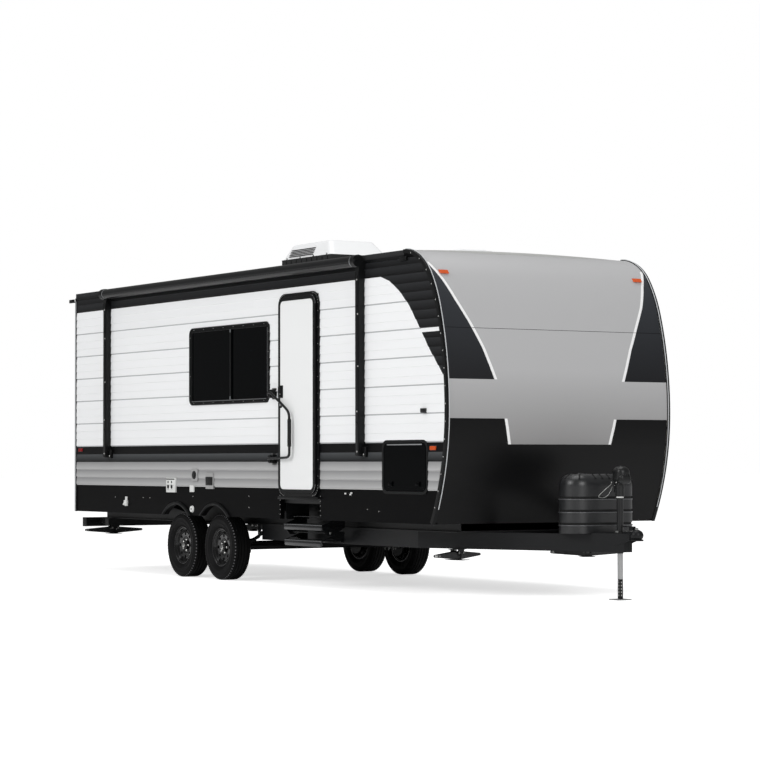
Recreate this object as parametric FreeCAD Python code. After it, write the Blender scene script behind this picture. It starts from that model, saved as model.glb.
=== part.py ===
import FreeCAD, Part
import math
import os

# Travel caravan: a box body with a bulbous nose on a steel frame with two axles and an A-shaped tongue.
# Millimetres. +X points forward to the hitch, +Y to the left (street) side, +Z up. The origin lies on
# the ground on the centreline, under the middle of the tongue jack's foot.
# Stations along the length are measured forward from the outer face of the rear wall. A name that ends
# in _back is measured rearward, from the nose on the body and from the coupler's tip on the tongue.

V = FreeCAD.Vector
ORIGIN = V(0, 0, 0)
ALONG_X = V(1, 0, 0)
ALONG_Y = V(0, 1, 0)
ALONG_Z = V(0, 0, 1)
NODES = {}

# Driving dimensions
body_width = 2438.0
body_reach = 7610.0
tongue_past = 1148.0
bumper_reach = 150.0
skirt_z = 643.0
eave_z = 3035.0
wall_t = 50.0
roof_t = 50.0
roof_crown = 27.0
floor_top_z = 860.0
floor_t = 60.0
axle_spacing = 844.0
rear_axle_share = 0.3259
tyre_radius = 330.0
tyre_width = 205.0
tyre_inset = 44.0
jack_back = 292.5
running_gap = 0.3
cut_over = 20.0

tongue_reach = body_reach + tongue_past
jack_station = tongue_reach - jack_back
rear_x = -jack_station
half_width = body_width / 2
inner_half = half_width - wall_t
track_half = half_width - tyre_inset - tyre_width / 2
rear_axle_station = body_reach * rear_axle_share
roof_edge_z = eave_z + roof_t
floor_z = floor_top_z - floor_t


def at(station):
    return rear_x + station


def block(x0, x1, y0, y1, z0, z1):
    return Part.makeBox(x1 - x0, y1 - y0, z1 - z0, V(x0, y0, z0))


def face_of(edges):
    return Part.Face(Part.Wire(Part.__sortEdges__(edges)))


def plate_xz(points, y0, y1):
    corners = [V(x, y0, z) for x, z in points]
    face = Part.Face(Part.makePolygon(corners + corners[:1]))
    return face.extrude(V(0, y1 - y0, 0))


def plate_yz(points, x0, x1):
    corners = [V(x0, y, z) for y, z in points]
    face = Part.Face(Part.makePolygon(corners + corners[:1]))
    return face.extrude(V(x1 - x0, 0, 0))


def plate_xy(points, z0, z1):
    corners = [V(x, y, z0) for x, y in points]
    face = Part.Face(Part.makePolygon(corners + corners[:1]))
    return face.extrude(V(0, 0, z1 - z0))


def rounded_panel(x0, x1, z0, z1, radius, y0, y1):
    """An upright panel in the XZ plane whose four corners are rounded."""
    panel = block(x0, x1, y0, y1, z0, z1)
    corners = [e for e in panel.Edges if abs(e.tangentAt(e.FirstParameter).y) > 0.9]
    return panel.makeFillet(radius, corners)


def rod(start, axis, radius, length):
    return Part.makeCylinder(radius, length, start, axis)


def mirrored(shape):
    return shape.mirror(ORIGIN, ALONG_Y)


def joined(shapes):
    return shapes[0].multiFuse(shapes[1:]).removeSplitter()


def spun(points, axis):
    """A ring turned from (radius, along) points about the X, Y or Z axis through the origin."""
    if axis == "y":
        corners = [V(r, a, 0) for r, a in points]
        line = ALONG_Y
    else:
        corners = [V(r, 0, a) for r, a in points]
        line = ALONG_Z
    face = Part.Face(Part.makePolygon(corners + corners[:1]))
    return face.revolve(ORIGIN, line, 360)


def keep(name, *shapes):
    solids = [solid for shape in shapes for solid in shape.Solids]
    NODES[name] = Part.makeCompound(solids) if len(solids) > 1 else solids[0]


# Nose curve: tangent arcs from the widest point down to the skirt and up to the roof
nose_belly_z = 1650.0
nose_down_radius = 2224.0
nose_down_turn = 26.86
nose_up_shares = (2.13728, 0.81115, 0.34676)
nose_up_turns = (17.06, 17.54, 55.40)

nose_rise = eave_z + roof_t - nose_belly_z
nose_up_radii = [nose_rise * share for share in nose_up_shares]


def nose_arcs(inset):
    """Arcs of the nose in the XZ plane, moved inward by an inset, with their two end points."""
    widest = V(at(body_reach) - inset, 0, nose_belly_z)
    radius = nose_down_radius - inset
    centre = widest - ALONG_X * radius

    def on_circle(middle, size, angle):
        turn = math.radians(angle)
        return middle + V(size * math.cos(turn), 0, size * math.sin(turn))

    low = on_circle(centre, radius, -nose_down_turn)
    mid = on_circle(centre, radius, -nose_down_turn / 2)
    edges = [Part.Arc(low, mid, widest).toShape()]
    start, angle = widest, 0
    for full_radius, turn in zip(nose_up_radii, nose_up_turns):
        radius = full_radius - inset
        centre = start - V(math.cos(math.radians(angle)), 0, math.sin(math.radians(angle))) * radius
        mid = on_circle(centre, radius, angle + turn / 2)
        end = on_circle(centre, radius, angle + turn)
        edges.append(Part.Arc(start, mid, end).toShape())
        start, angle = end, angle + turn
    return edges, low, start


def nose_x_at(z, inset):
    """Place of the nose surface along X at a height below its widest point."""
    radius = nose_down_radius - inset
    reach = math.sqrt(radius ** 2 - (nose_belly_z - z) ** 2)
    return at(body_reach) - nose_down_radius + reach


def nose_shell(outer_inset, inner_inset, y0, y1):
    """A curved sheet that follows the nose between two insets and two planes across the body."""
    outer, outer_low, outer_top = nose_arcs(outer_inset)
    inner, inner_low, inner_top = nose_arcs(inner_inset)
    ends = [Part.makeLine(outer_low, inner_low), Part.makeLine(outer_top, inner_top)]
    face = face_of(outer + inner + ends)
    face.translate(V(0, y0, 0))
    return face.extrude(V(0, y1 - y0, 0))


nose_top_x = nose_arcs(0)[2].x

# Entry door on the right wall
door_share = 0.6176
door_width = 700.0
door_bottom_z = 897.0
door_height = 1877.0
door_radius = 85.0
door_frame_w = 36.0
door_frame_proud = 22.0
door_proud = 38.0
door_gap = 6.0
door_hinge_r = 6.0

door_station = body_reach * door_share
door_x0 = at(door_station)
door_x1 = door_x0 + door_width
door_z1 = door_bottom_z + door_height
door_t = door_proud - running_gap

# Baggage doors near the nose, one each side
bag_back = 333.0
bag_width = 702.0
bag_bottom_z = 934.0
bag_height = 424.0
bag_radius = 60.0
bag_t = 36.0
bag_gap = 5.0
bag_frame_w = 30.0
bag_frame_proud = 8.0
bag_proud = 10.0

bag_x1 = at(body_reach - bag_back)
bag_x0 = bag_x1 - bag_width
bag_z1 = bag_bottom_z + bag_height

# Windows: size of each frame, sill height, place along the wall, and the frame's section
dinette_size = (1689.0, 793.0)
dinette_sill_z = 1774.0
dinette_door_gap = 226.0
bath_size = (520.0, 577.0)
bath_sill_z = 1990.0
bath_share = 0.0815
kitchen_size = (1200.0, 793.0)
kitchen_share = 0.3364
bed_size = (900.0, 693.0)
bed_sill_z = 1874.0
bed_share = 0.749
rear_window_size = (760.0, 560.0)
rear_window_sill_z = 1820.0
window_radius = 70.0
window_frame_w = 42.0
window_proud = 14.0
glass_t = 6.0
glass_back = 4.0
mullion_w = 28.0
mullion_share = 0.528

dinette_station = door_station - dinette_door_gap - dinette_size[0]
window_right_list = ((dinette_station, dinette_sill_z) + dinette_size,)
window_left_list = (
    (body_reach * bath_share, bath_sill_z) + bath_size,
    (body_reach * kitchen_share, dinette_sill_z) + kitchen_size,
    (body_reach * bed_share, bed_sill_z) + bed_size,
)

# Wheel arches and the step well cut from the bottom of the walls
arch_radius = 425.0
well_margin = 34.0
well_top_z = 845.0


def wheel_stations():
    return (rear_axle_station, rear_axle_station + axle_spacing)


def window_panel(window, inset, y0, y1):
    station, sill, width, height = window
    x0 = at(station)
    radius = window_radius - inset
    return rounded_panel(x0 + inset, x0 + width - inset, sill + inset, sill + height - inset,
                         radius, y0, y1)


def side_wall(windows, with_door):
    """One side wall, built on the right: the whole silhouette less its openings."""
    arcs, low, top = nose_arcs(0)
    y0 = -half_width
    outline = [V(top.x, 0, eave_z), V(at(0), 0, eave_z), V(at(0), 0, low.z)]
    edges = arcs + [Part.makeLine(top, outline[0])]
    edges += [Part.makeLine(a, b) for a, b in zip(outline, outline[1:] + [low])]
    face = face_of(edges)
    face.translate(V(0, y0, 0))
    wall = face.extrude(V(0, wall_t, 0))
    cut_y0 = y0 - cut_over
    cut_y1 = y0 + wall_t + cut_over
    cutters = [window_panel(w, window_frame_w / 2, cut_y0, cut_y1) for w in windows]
    for station in wheel_stations():
        centre = V(at(station), cut_y0, tyre_radius)
        cutters.append(rod(centre, ALONG_Y, arch_radius, cut_y1 - cut_y0))
    cutters.append(rounded_panel(bag_x0 - bag_gap, bag_x1 + bag_gap, bag_bottom_z - bag_gap,
                                 bag_z1 + bag_gap, bag_radius, cut_y0, cut_y1))
    if with_door:
        cutters.append(rounded_panel(door_x0 + door_gap, door_x1 - door_gap,
                                     door_bottom_z + door_gap, door_z1 - door_gap,
                                     door_radius - door_gap, cut_y0, cut_y1))
        cutters.append(block(door_x0 - well_margin, door_x1 + well_margin, cut_y0, cut_y1,
                             low.z - cut_over, well_top_z))
    for cutter in cutters:
        wall = wall.cut(cutter)
    return wall


keep("side_wall_right", side_wall(window_right_list, True))
keep("side_wall_left", mirrored(side_wall(window_left_list, False)))

# Front cap: one curved panel between the side walls
keep("front_cap", nose_shell(0, wall_t, -inner_half, inner_half))

# Rear wall between the side walls, with its window
rear_wall_panel = block(at(0), at(0) + wall_t, -inner_half, inner_half, skirt_z, eave_z)


def rear_panel(inset, x0, x1):
    """The rear window's outline as a panel in the YZ plane."""
    width, height = rear_window_size
    panel = block(x0, x1, inset - width / 2, width / 2 - inset,
                  rear_window_sill_z + inset, rear_window_sill_z + height - inset)
    corners = [e for e in panel.Edges if abs(e.tangentAt(e.FirstParameter).x) > 0.9]
    return panel.makeFillet(window_radius - inset, corners)


rear_opening = rear_panel(window_frame_w / 2, at(0) - cut_over, at(0) + wall_t + cut_over)
keep("rear_wall", rear_wall_panel.cut(rear_opening))

# Roof: a crowned panel laid over the walls, from the rear to the top of the nose
roof_left = V(at(0), half_width, roof_edge_z)
roof_mid = V(at(0), 0, roof_edge_z + roof_crown)
roof_right = V(at(0), -half_width, roof_edge_z)
roof_low_left = V(at(0), half_width, eave_z)
roof_low_right = V(at(0), -half_width, eave_z)
roof_edges = [
    Part.Arc(roof_left, roof_mid, roof_right).toShape(),
    Part.makeLine(roof_right, roof_low_right),
    Part.makeLine(roof_low_right, roof_low_left),
    Part.makeLine(roof_low_left, roof_left),
]
keep("roof", face_of(roof_edges).extrude(V(nose_top_x - at(0), 0, 0)))

# Floor panel, and the closed underbelly sheet that lies on the lower flanges of the main rails
rail_bottom_z = 565.0
rail_flange_w = 90.0
rail_flange_t = 8.0
rail_web_t = 6.0
rail_tyre_gap = 65.0
rail_front_back = 330.0
rail_rear_gap = 20.0
belly_t = 4.0
floor_front_gap = 1.0

rail_centre_y = track_half - tyre_width / 2 - rail_tyre_gap - rail_flange_w / 2
rail_x0 = at(wall_t + rail_rear_gap)
rail_x1 = at(body_reach - rail_front_back)
floor_x1 = nose_x_at(floor_z, wall_t) - floor_front_gap
floor_panel = block(at(wall_t), floor_x1, -inner_half, inner_half, floor_z, floor_top_z)
belly_half = rail_centre_y - rail_web_t / 2 - running_gap
belly_z = rail_bottom_z + rail_flange_t
belly_sheet = block(rail_x0, rail_x1, -belly_half, belly_half, belly_z, belly_z + belly_t)
keep("floor", floor_panel, belly_sheet)

# Chassis: main rails of web and flange plates, channel crossmembers, tapered outriggers and the square
# bumper. Its plates meet at seams as wide as the running gap.
cross_shares = (0.0368, 0.1708, 0.276, 0.3811, 0.4928, 0.6242, 0.7556, 0.9067)
cross_depth = 110.0
cross_w = 50.0
outrigger_shares = (0.092, 0.1971, 0.2694, 0.4994, 0.5848, 0.7424, 0.8279, 0.9133)
outrigger_t = 5.0
outrigger_root = 150.0
outrigger_tip = 45.0
bumper_size = 100.0
bumper_top_z = 570.0
bumper_inset = 159.0
bumper_wall = 4.0
bumper_arm_w = 60.0
bumper_arm_front = 250.0
bumper_arm_drop = 75.0

bumper_half = half_width - bumper_inset


def main_rail():
    """The web and the two flanges of the left rail."""
    y = rail_centre_y
    lower = block(rail_x0, rail_x1, y - rail_flange_w / 2, y + rail_flange_w / 2,
                  rail_bottom_z, rail_bottom_z + rail_flange_t)
    upper = block(rail_x0, rail_x1, y - rail_flange_w / 2, y + rail_flange_w / 2,
                  floor_z - rail_flange_t, floor_z)
    web = block(rail_x0, rail_x1, y - rail_web_t / 2, y + rail_web_t / 2,
                rail_bottom_z + rail_flange_t + running_gap, floor_z - rail_flange_t - running_gap)
    return [lower, upper, web]


def outrigger(station):
    """A tapered plate from the rail's web out to the side wall, notched round the upper flange."""
    y0 = rail_centre_y + rail_web_t / 2 + running_gap
    y1 = rail_centre_y + rail_flange_w / 2 + running_gap
    notch_z = floor_z - rail_flange_t - running_gap
    points = [(y0, floor_z - outrigger_root), (y0, notch_z), (y1, notch_z), (y1, floor_z),
              (inner_half, floor_z), (inner_half, floor_z - outrigger_tip)]
    return plate_yz(points, at(station), at(station) + outrigger_t)


def crossmember(station):
    """A channel between the two webs, open to the rear, under the upper flanges."""
    x0 = at(station)
    z1 = floor_z - rail_flange_t - running_gap
    z0 = floor_z - cross_depth
    web = block(x0 + cross_w - rail_web_t, x0 + cross_w, -belly_half, belly_half, z0, z1)
    top = block(x0, x0 + cross_w, -belly_half, belly_half, z1 - rail_web_t, z1)
    low = block(x0, x0 + cross_w, -belly_half, belly_half, z0, z0 + rail_web_t)
    return joined([web, top, low])


def bumper():
    z1 = bumper_top_z
    z0 = z1 - bumper_size
    x0 = at(-bumper_reach)
    x1 = x0 + bumper_size
    tube = block(x0, x1, -bumper_half, bumper_half, z0, z1)
    hollow = block(x0 + bumper_wall, x1 - bumper_wall, -bumper_half - cut_over,
                   bumper_half + cut_over, z0 + bumper_wall, z1 - bumper_wall)
    return tube.cut(hollow)


def bumper_arm():
    x0 = at(-bumper_reach) + bumper_size + running_gap
    return block(x0, at(bumper_arm_front), rail_centre_y - bumper_arm_w / 2, rail_centre_y + bumper_arm_w / 2,
                 rail_bottom_z - bumper_arm_drop, rail_bottom_z - running_gap)


# Entry steps: a fixed frame in the well, and two treads on swinging side bars, stowed in a stack.
# The bars swing outward and down about the well's front rod, and each tread stays level.
step_width = 736.0
step_frame_t = 6.0
step_layer_gap = 1.0
step_bar_t = 6.0
step_bar_w = 30.0
step_ear_t = 5.0
step_rod_r = 6.0
step_bar_reach = 150.0
step_stow_angle = 1.0
step_swing = 150.0
step_pivot_inset = 119.0
step_pivot_z = 670.0
step_rise = 150.0
tread_depth = 236.0
tread_front_inset = 29.0
tread_plate_t = 5.0
tread_drop = 70.0
tread_lip = 26.0
tread_ear_low = 172.0
tread_ear_low_last = 50.0
tread_ear_high = 86.0
step_frame_z0 = 640.0
step_frame_front = 60.0

step_mid_x = door_x0 + door_width / 2
step_pivot_y = -half_width + step_pivot_inset
step_tip_dy = step_bar_reach * math.cos(math.radians(step_stow_angle))
step_tip_dz = -step_bar_reach * math.sin(math.radians(step_stow_angle))
step_inner = rail_centre_y + rail_flange_w / 2 + running_gap


def step_frame():
    """Two hanger plates and a roof plate, carried by the main rail under the floor."""
    plates = []
    for side in (-1, 1):
        face_x = step_mid_x + side * step_width / 2
        x0 = min(face_x, face_x + side * step_frame_t)
        hanger = block(x0, x0 + step_frame_t, -half_width + step_frame_front, -step_inner,
                       step_frame_z0, floor_z - step_frame_t - running_gap)
        bore = rod(V(x0 - cut_over, step_pivot_y, step_pivot_z), ALONG_X,
                   step_rod_r + running_gap, step_frame_t + 2 * cut_over)
        plates.append(hanger.cut(bore))
    span = step_width / 2 + step_frame_t
    cover = block(step_mid_x - span, step_mid_x + span, -half_width + step_frame_front, -step_inner,
                  floor_z - step_frame_t, floor_z)
    return plates + [cover]


def step_bars(level):
    """The rod across the steps and its two side bars; level 0 hangs on the frame, 1 on the first tread."""
    y, z = step_pivot_y, step_pivot_z - level * step_rise
    lane = step_width / 2 - step_layer_gap
    lane -= level * (step_bar_t + step_ear_t + 2 * step_layer_gap)
    parts = []
    rod_half = lane + step_layer_gap + (step_frame_t if level == 0 else step_ear_t)
    parts.append(rod(V(step_mid_x - rod_half, y, z), ALONG_X, step_rod_r, 2 * rod_half))
    for side in (-1, 1):
        outer = step_mid_x + side * lane
        inner = step_mid_x + side * (lane - step_bar_t)
        x0, x1 = min(outer, inner), max(outer, inner)
        tip_y, tip_z = y + step_tip_dy, z + step_tip_dz
        half = step_bar_w / 2
        bar = plate_yz([(y, z - half), (y, z + half), (tip_y, tip_z + half), (tip_y, tip_z - half)],
                       x0, x1)
        parts += [bar, rod(V(x0, y, z), ALONG_X, half, step_bar_t)]
        parts.append(rod(V(x0, tip_y, tip_z), ALONG_X, half, step_bar_t))
        pin_x = min(inner, inner - side * (step_layer_gap + step_ear_t))
        parts.append(rod(V(pin_x, tip_y, tip_z), ALONG_X, step_rod_r, step_layer_gap + step_ear_t))
    return joined(parts)


def tread(level):
    """A pressed tread with a turned-down lip all round and an ear at each end."""
    pivot_z = step_pivot_z - level * step_rise + step_tip_dz
    pivot_y = step_pivot_y + step_tip_dy
    top_z = pivot_z - tread_drop
    lane = step_width / 2 - 2 * step_layer_gap - step_bar_t
    lane -= level * (step_bar_t + step_ear_t + 2 * step_layer_gap)
    y0 = -half_width + tread_front_inset
    y1 = y0 + tread_depth
    last = level == 1
    ear_low = tread_ear_low_last if last else tread_ear_low
    plate = block(step_mid_x - lane, step_mid_x + lane, y0, y1, top_z - tread_plate_t, top_z)
    lips = [block(step_mid_x - lane, step_mid_x + lane, y, y + tread_plate_t, top_z - tread_lip, top_z)
            for y in (y0, y1 - tread_plate_t)]
    parts = [plate] + lips
    back = pivot_y + step_bar_w / 2
    outline = [(y0, top_z - tread_lip), (y0, top_z), (pivot_y - step_bar_w, pivot_z + step_rod_r),
               (pivot_y - step_rod_r, pivot_z + tread_ear_high - tread_drop),
               (back, pivot_z + tread_ear_high - tread_drop), (back, top_z - tread_lip),
               (step_pivot_y + step_bar_w, pivot_z - ear_low), (step_pivot_y - step_bar_w, pivot_z - ear_low)]
    for side in (-1, 1):
        outer = step_mid_x + side * lane
        inner = step_mid_x + side * (lane - step_ear_t)
        x0 = min(outer, inner)
        parts.append(plate_yz(outline, x0, x0 + step_ear_t))
    body = joined(parts)
    holes = [(pivot_y, pivot_z)]
    if not last:
        holes.append((step_pivot_y, step_pivot_z - (level + 1) * step_rise))
    for y, z in holes:
        for side in (-1, 1):
            start = step_mid_x + side * lane - cut_over
            body = body.cut(rod(V(start, y, z), ALONG_X, step_rod_r + running_gap, 2 * cut_over))
    return body


keep("step_bars_upper", step_bars(0))
keep("step_tread_upper", tread(0))
keep("step_bars_lower", step_bars(1))
keep("step_tread_lower", tread(1))

# Axles: round beams with stub spindles and round brake backing plates
axle_r = 30.0
spindle_r = 19.0
spindle_past = 35.0
backing_r = 130.0
backing_t = 8.0
drum_gap = 4.0
drum_half = 105.0


def axle(station):
    backing_outer = track_half - drum_half - drum_gap
    x = at(station)
    beam_half = backing_outer - backing_t
    parts = [rod(V(x, -beam_half, tyre_radius), ALONG_Y, axle_r, 2 * beam_half)]
    spindle_half = track_half + spindle_past
    parts.append(rod(V(x, -spindle_half, tyre_radius), ALONG_Y, spindle_r, 2 * spindle_half))
    for y in (-backing_outer, beam_half):
        parts.append(rod(V(x, y, tyre_radius), ALONG_Y, backing_r, backing_t))
    return joined(parts)


keep("axles", *[axle(station) for station in wheel_stations()])

# Leaf springs over the axles, with their hangers, shackles and equaliser under the main rails
spring_w = 45.0
spring_half = 330.0
spring_sag = 75.0
leaf_t = 9.0
leaf_shares = (1.0, 0.76, 0.52, 0.3)
seat_t = 8.0
seat_len = 90.0
eye_r = 18.0
hanger_t = 6.0
hanger_w = 60.0
hanger_below = 14.0
equaliser_z_up = 45.0
tie_plate_t = 10.0
ubolt_r = 6.0

spring_radius = (spring_half ** 2 + spring_sag ** 2) / (2 * spring_sag)
spring_bottom_z = tyre_radius + axle_r + seat_t
spring_top_z = spring_bottom_z + leaf_t * len(leaf_shares)
eye_z = spring_top_z + spring_sag
hanger_y = spring_w / 2
spring_centre = rail_centre_y


def leaf_pack(station):
    """The stepped pack of leaves, bent about a centre above the axle, the longest leaf on top."""
    centre = V(at(station), spring_centre - spring_w / 2, spring_top_z + spring_radius)
    turns = [math.asin(spring_half * share / spring_radius) for share in leaf_shares]

    def place(radius, angle):
        return centre + V(radius * math.sin(angle), 0, -radius * math.cos(angle))

    def arc(radius, start, end):
        return Part.Arc(place(radius, start), place(radius, (start + end) / 2), place(radius, end)).toShape()

    edges = [arc(spring_radius, -turns[0], turns[0])]
    for index, turn in enumerate(turns):
        outer = spring_radius + (index + 1) * leaf_t
        edges += [Part.makeLine(place(outer - leaf_t, side * turn), place(outer, side * turn))
                  for side in (-1, 1)]
        if index + 1 < len(turns):
            edges += [arc(outer, side * turns[index + 1], side * turn) for side in (-1, 1)]
        else:
            edges.append(arc(outer, -turn, turn))
    return face_of(edges).extrude(V(0, spring_w, 0))


def spring(station):
    x = at(station)
    parts = [leaf_pack(station)]
    y0 = spring_centre - spring_w / 2
    for side in (-1, 1):
        parts.append(rod(V(x + side * spring_half, y0, eye_z), ALONG_Y, eye_r, spring_w))
    beam = rod(V(x, y0 - cut_over, tyre_radius), ALONG_Y, axle_r, spring_w + 2 * cut_over)
    seat = block(x - seat_len / 2, x + seat_len / 2, y0, y0 + spring_w,
                 tyre_radius + axle_r / 2, spring_bottom_z + leaf_t)
    parts.append(seat.cut(beam))
    tie_low = tyre_radius - axle_r - tie_plate_t
    reach = spring_w / 2 + ubolt_r
    parts.append(block(x - seat_len / 2, x + seat_len / 2, spring_centre - reach - ubolt_r,
                       spring_centre + reach + ubolt_r, tie_low, tie_low + tie_plate_t))
    for dx in (-axle_r - ubolt_r, axle_r + ubolt_r):
        for dy in (-reach, reach):
            parts.append(rod(V(x + dx, spring_centre + dy, tie_low), ALONG_Z, ubolt_r,
                             spring_top_z - tie_low + ubolt_r))
        parts.append(block(x + dx - ubolt_r, x + dx + ubolt_r, spring_centre - reach,
                           spring_centre + reach, spring_top_z, spring_top_z + 2 * ubolt_r))
    return parts


def hanger(station, low_z):
    x = at(station)
    parts = []
    for side in (-1, 1):
        inner = spring_centre + side * hanger_y
        outer = inner + side * hanger_t
        parts.append(block(x - hanger_w / 2, x + hanger_w / 2, min(inner, outer), max(inner, outer),
                           low_z, rail_bottom_z))
    return parts


def suspension():
    """Both springs of one side, joined through their hangers and the equaliser."""
    rear, front = wheel_stations()
    middle = (rear + front) / 2
    parts = spring(rear) + spring(front)
    low = eye_z - hanger_below
    parts += hanger(rear - spring_half, low) + hanger(front + spring_half, low)
    parts += hanger(middle, eye_z)
    pivot_z = eye_z + equaliser_z_up
    gap_x = (front - spring_half - rear - spring_half) / 2
    outline = [(at(middle) - gap_x, eye_z + eye_r), (at(middle), pivot_z + eye_r),
               (at(middle) + gap_x, eye_z + eye_r), (at(middle) + gap_x, eye_z - eye_r),
               (at(middle), pivot_z - eye_r), (at(middle) - gap_x, eye_z - eye_r)]
    parts.append(plate_xz(outline, spring_centre - spring_w / 2, spring_centre + spring_w / 2))
    return joined(parts)


spring_side = suspension()
keep("leaf_springs", spring_side, mirrored(spring_side))

# Wheels: pressed steel rim and disc with its hub and brake drum, and the tyre on the rim
rim_bead_r = 178.0
rim_lip_r = 192.0
rim_lip_half = 74.0
rim_seat_half = 62.0
rim_well_r = 158.0
rim_well_half = 28.0
rim_slope_half = 40.0
rim_t = 4.0
disc_t = 5.0
disc_hub_out = 27.0
disc_ridge_out = 44.0
disc_hub_r = 72.0
disc_rise_r = 92.0
disc_ridge_r = 130.0
hub_r = 42.0
hub_out = 50.0
cap_r = 30.0
cap_out = 68.0
drum_r = 127.0
drum_len = 65.0
hand_hole_r = 17.0
hand_hole_ring = 118.0
hand_holes = 8
lug_ring = 57.15
lug_r = 10.0
lug_out = 44.0
lugs = 5
bore_out = 38.0
bead_gap = 0.3
tread_half = 74.0
shoulder_drop = 14.0
shoulder_half = 94.0
wall_mid_r = 262.0
bead_half = 58.0
bead_top_r = 196.0


def rim():
    """The wheel turned about Y with its outer face towards +Y."""
    outer = [(rim_lip_r, rim_lip_half), (rim_lip_r, rim_seat_half + rim_t), (rim_bead_r, rim_seat_half),
             (rim_bead_r, rim_slope_half), (rim_well_r, rim_well_half)]
    outer += [(r, -a) for r, a in reversed(outer)]
    section = outer + [(r - rim_t, a) for r, a in reversed(outer)]
    barrel = spun(section, "y")
    top = [(cap_r, disc_hub_out), (disc_hub_r, disc_hub_out), (disc_rise_r, disc_ridge_out - rim_t),
           (disc_ridge_r, disc_ridge_out), (rim_well_r - rim_t / 2, rim_well_half + rim_t)]
    disc = spun(top + [(r, a - disc_t) for r, a in reversed(top)], "y")
    for i in range(hand_holes):
        turn = 2 * math.pi * i / hand_holes
        place = V(hand_hole_ring * math.cos(turn), 0, hand_hole_ring * math.sin(turn))
        disc = disc.cut(rod(place, ALONG_Y, hand_hole_r, disc_ridge_out + cut_over))
    parts = [barrel, disc]
    parts.append(rod(V(0, -drum_half, 0), ALONG_Y, drum_r, drum_len))
    parts.append(rod(V(0, -drum_half, 0), ALONG_Y, hub_r, drum_half + hub_out))
    parts.append(rod(V(0, hub_out, 0), ALONG_Y, cap_r, cap_out - hub_out))
    for i in range(lugs):
        turn = 2 * math.pi * i / lugs
        place = V(lug_ring * math.cos(turn), disc_hub_out - disc_t, lug_ring * math.sin(turn))
        parts.append(rod(place, ALONG_Y, lug_r, lug_out - disc_hub_out + disc_t))
    bore = rod(V(0, -drum_half - cut_over, 0), ALONG_Y, spindle_r + running_gap,
               drum_half + cut_over + bore_out)
    return joined(parts).cut(bore)


def tyre():
    """The tyre's closed ring, its beads on the rim's seats."""
    half = tyre_width / 2
    side = [(rim_bead_r + bead_gap, bead_half), (bead_top_r, rim_seat_half), (wall_mid_r, half),
            (tyre_radius - shoulder_drop, shoulder_half), (tyre_radius, tread_half)]
    return spun(side + [(r, -a) for r, a in reversed(side)], "y")


rim_shape = rim()
tyre_shape = tyre()
WHEELS = {}
for row, station in zip(("rear", "front"), wheel_stations()):
    for side, sign in (("left", 1), ("right", -1)):
        place = V(at(station), sign * track_half, tyre_radius)
        WHEELS[row + "_" + side] = place
        for kind, shape in (("wheel", rim_shape), ("tyre", tyre_shape)):
            body = shape.copy() if sign > 0 else mirrored(shape)
            body.translate(place)
            keep(kind + "_" + row + "_" + side, body)

# Tongue frame: channel rails under the main rails that run in to the coupler, with a bottle tray
tongue_depth = 152.0
tongue_w = 64.0
tongue_t = 8.0
tongue_rear_gap = 66.0
tongue_bend_back = 2138.0
tongue_apex_back = 158.0
tongue_end_back = 338.0
tray_back = 798.0
tray_len = 310.0
tray_t = 5.0
tray_half = 300.0

tongue_bend_station = tongue_reach - tongue_bend_back
tongue_apex_station = tongue_reach - tongue_apex_back
tongue_end_station = tongue_reach - tongue_end_back
tray_x0 = at(tongue_reach - tray_back)
tongue_z0 = rail_bottom_z - tongue_depth
tongue_rear_x = at(wheel_stations()[1] + spring_half + tongue_rear_gap)
tongue_slope = rail_centre_y / (tongue_apex_station - tongue_bend_station)
tongue_turn = math.atan(tongue_slope)


def tongue_line(offset):
    """Plan line of one tongue rail, moved outward by an offset, as (x, y) points on the left."""
    straight_y = rail_centre_y + offset
    slope_gain = offset / math.cos(tongue_turn)
    bend_x = at(tongue_bend_station) + offset * math.tan(tongue_turn / 2)
    end_x = at(tongue_end_station)
    end_y = (at(tongue_apex_station) - end_x) * tongue_slope + slope_gain
    return [(tongue_rear_x, straight_y), (bend_x, straight_y), (end_x, end_y)]


def tongue_band(inner, outer, z0, z1):
    return plate_xy(tongue_line(inner) + tongue_line(outer)[::-1], z0, z1)


def tongue_side():
    half = tongue_w / 2
    web = tongue_band(half - tongue_t, half, tongue_z0, rail_bottom_z)
    low = tongue_band(-half, half, tongue_z0, tongue_z0 + tongue_t)
    top = tongue_band(-half, half, rail_bottom_z - tongue_t, rail_bottom_z)
    return joined([web, low, top])


# Ball coupler: a pressed plate on the rails' ends, with a socket for the ball under its nose
ball_bore_r = 29.75
ball_bore_depth = 62.0
socket_wall = 28.25
socket_low_z = 512.0
socket_top_z = 612.0
coupler_latch_z = 631.0
coupler_plate_t = 9.0
coupler_neck_half = 52.0
coupler_neck_wall = 8.0
coupler_rear_back = 468.0
coupler_latch_len = 70.0
coupler_latch_w = 26.0
jack_tube_r = 28.5
jack_tube_gap = 1.0

coupler_rear_station = tongue_reach - coupler_rear_back
socket_r = ball_bore_r + socket_wall
socket_x = at(tongue_reach) - socket_r


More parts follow.
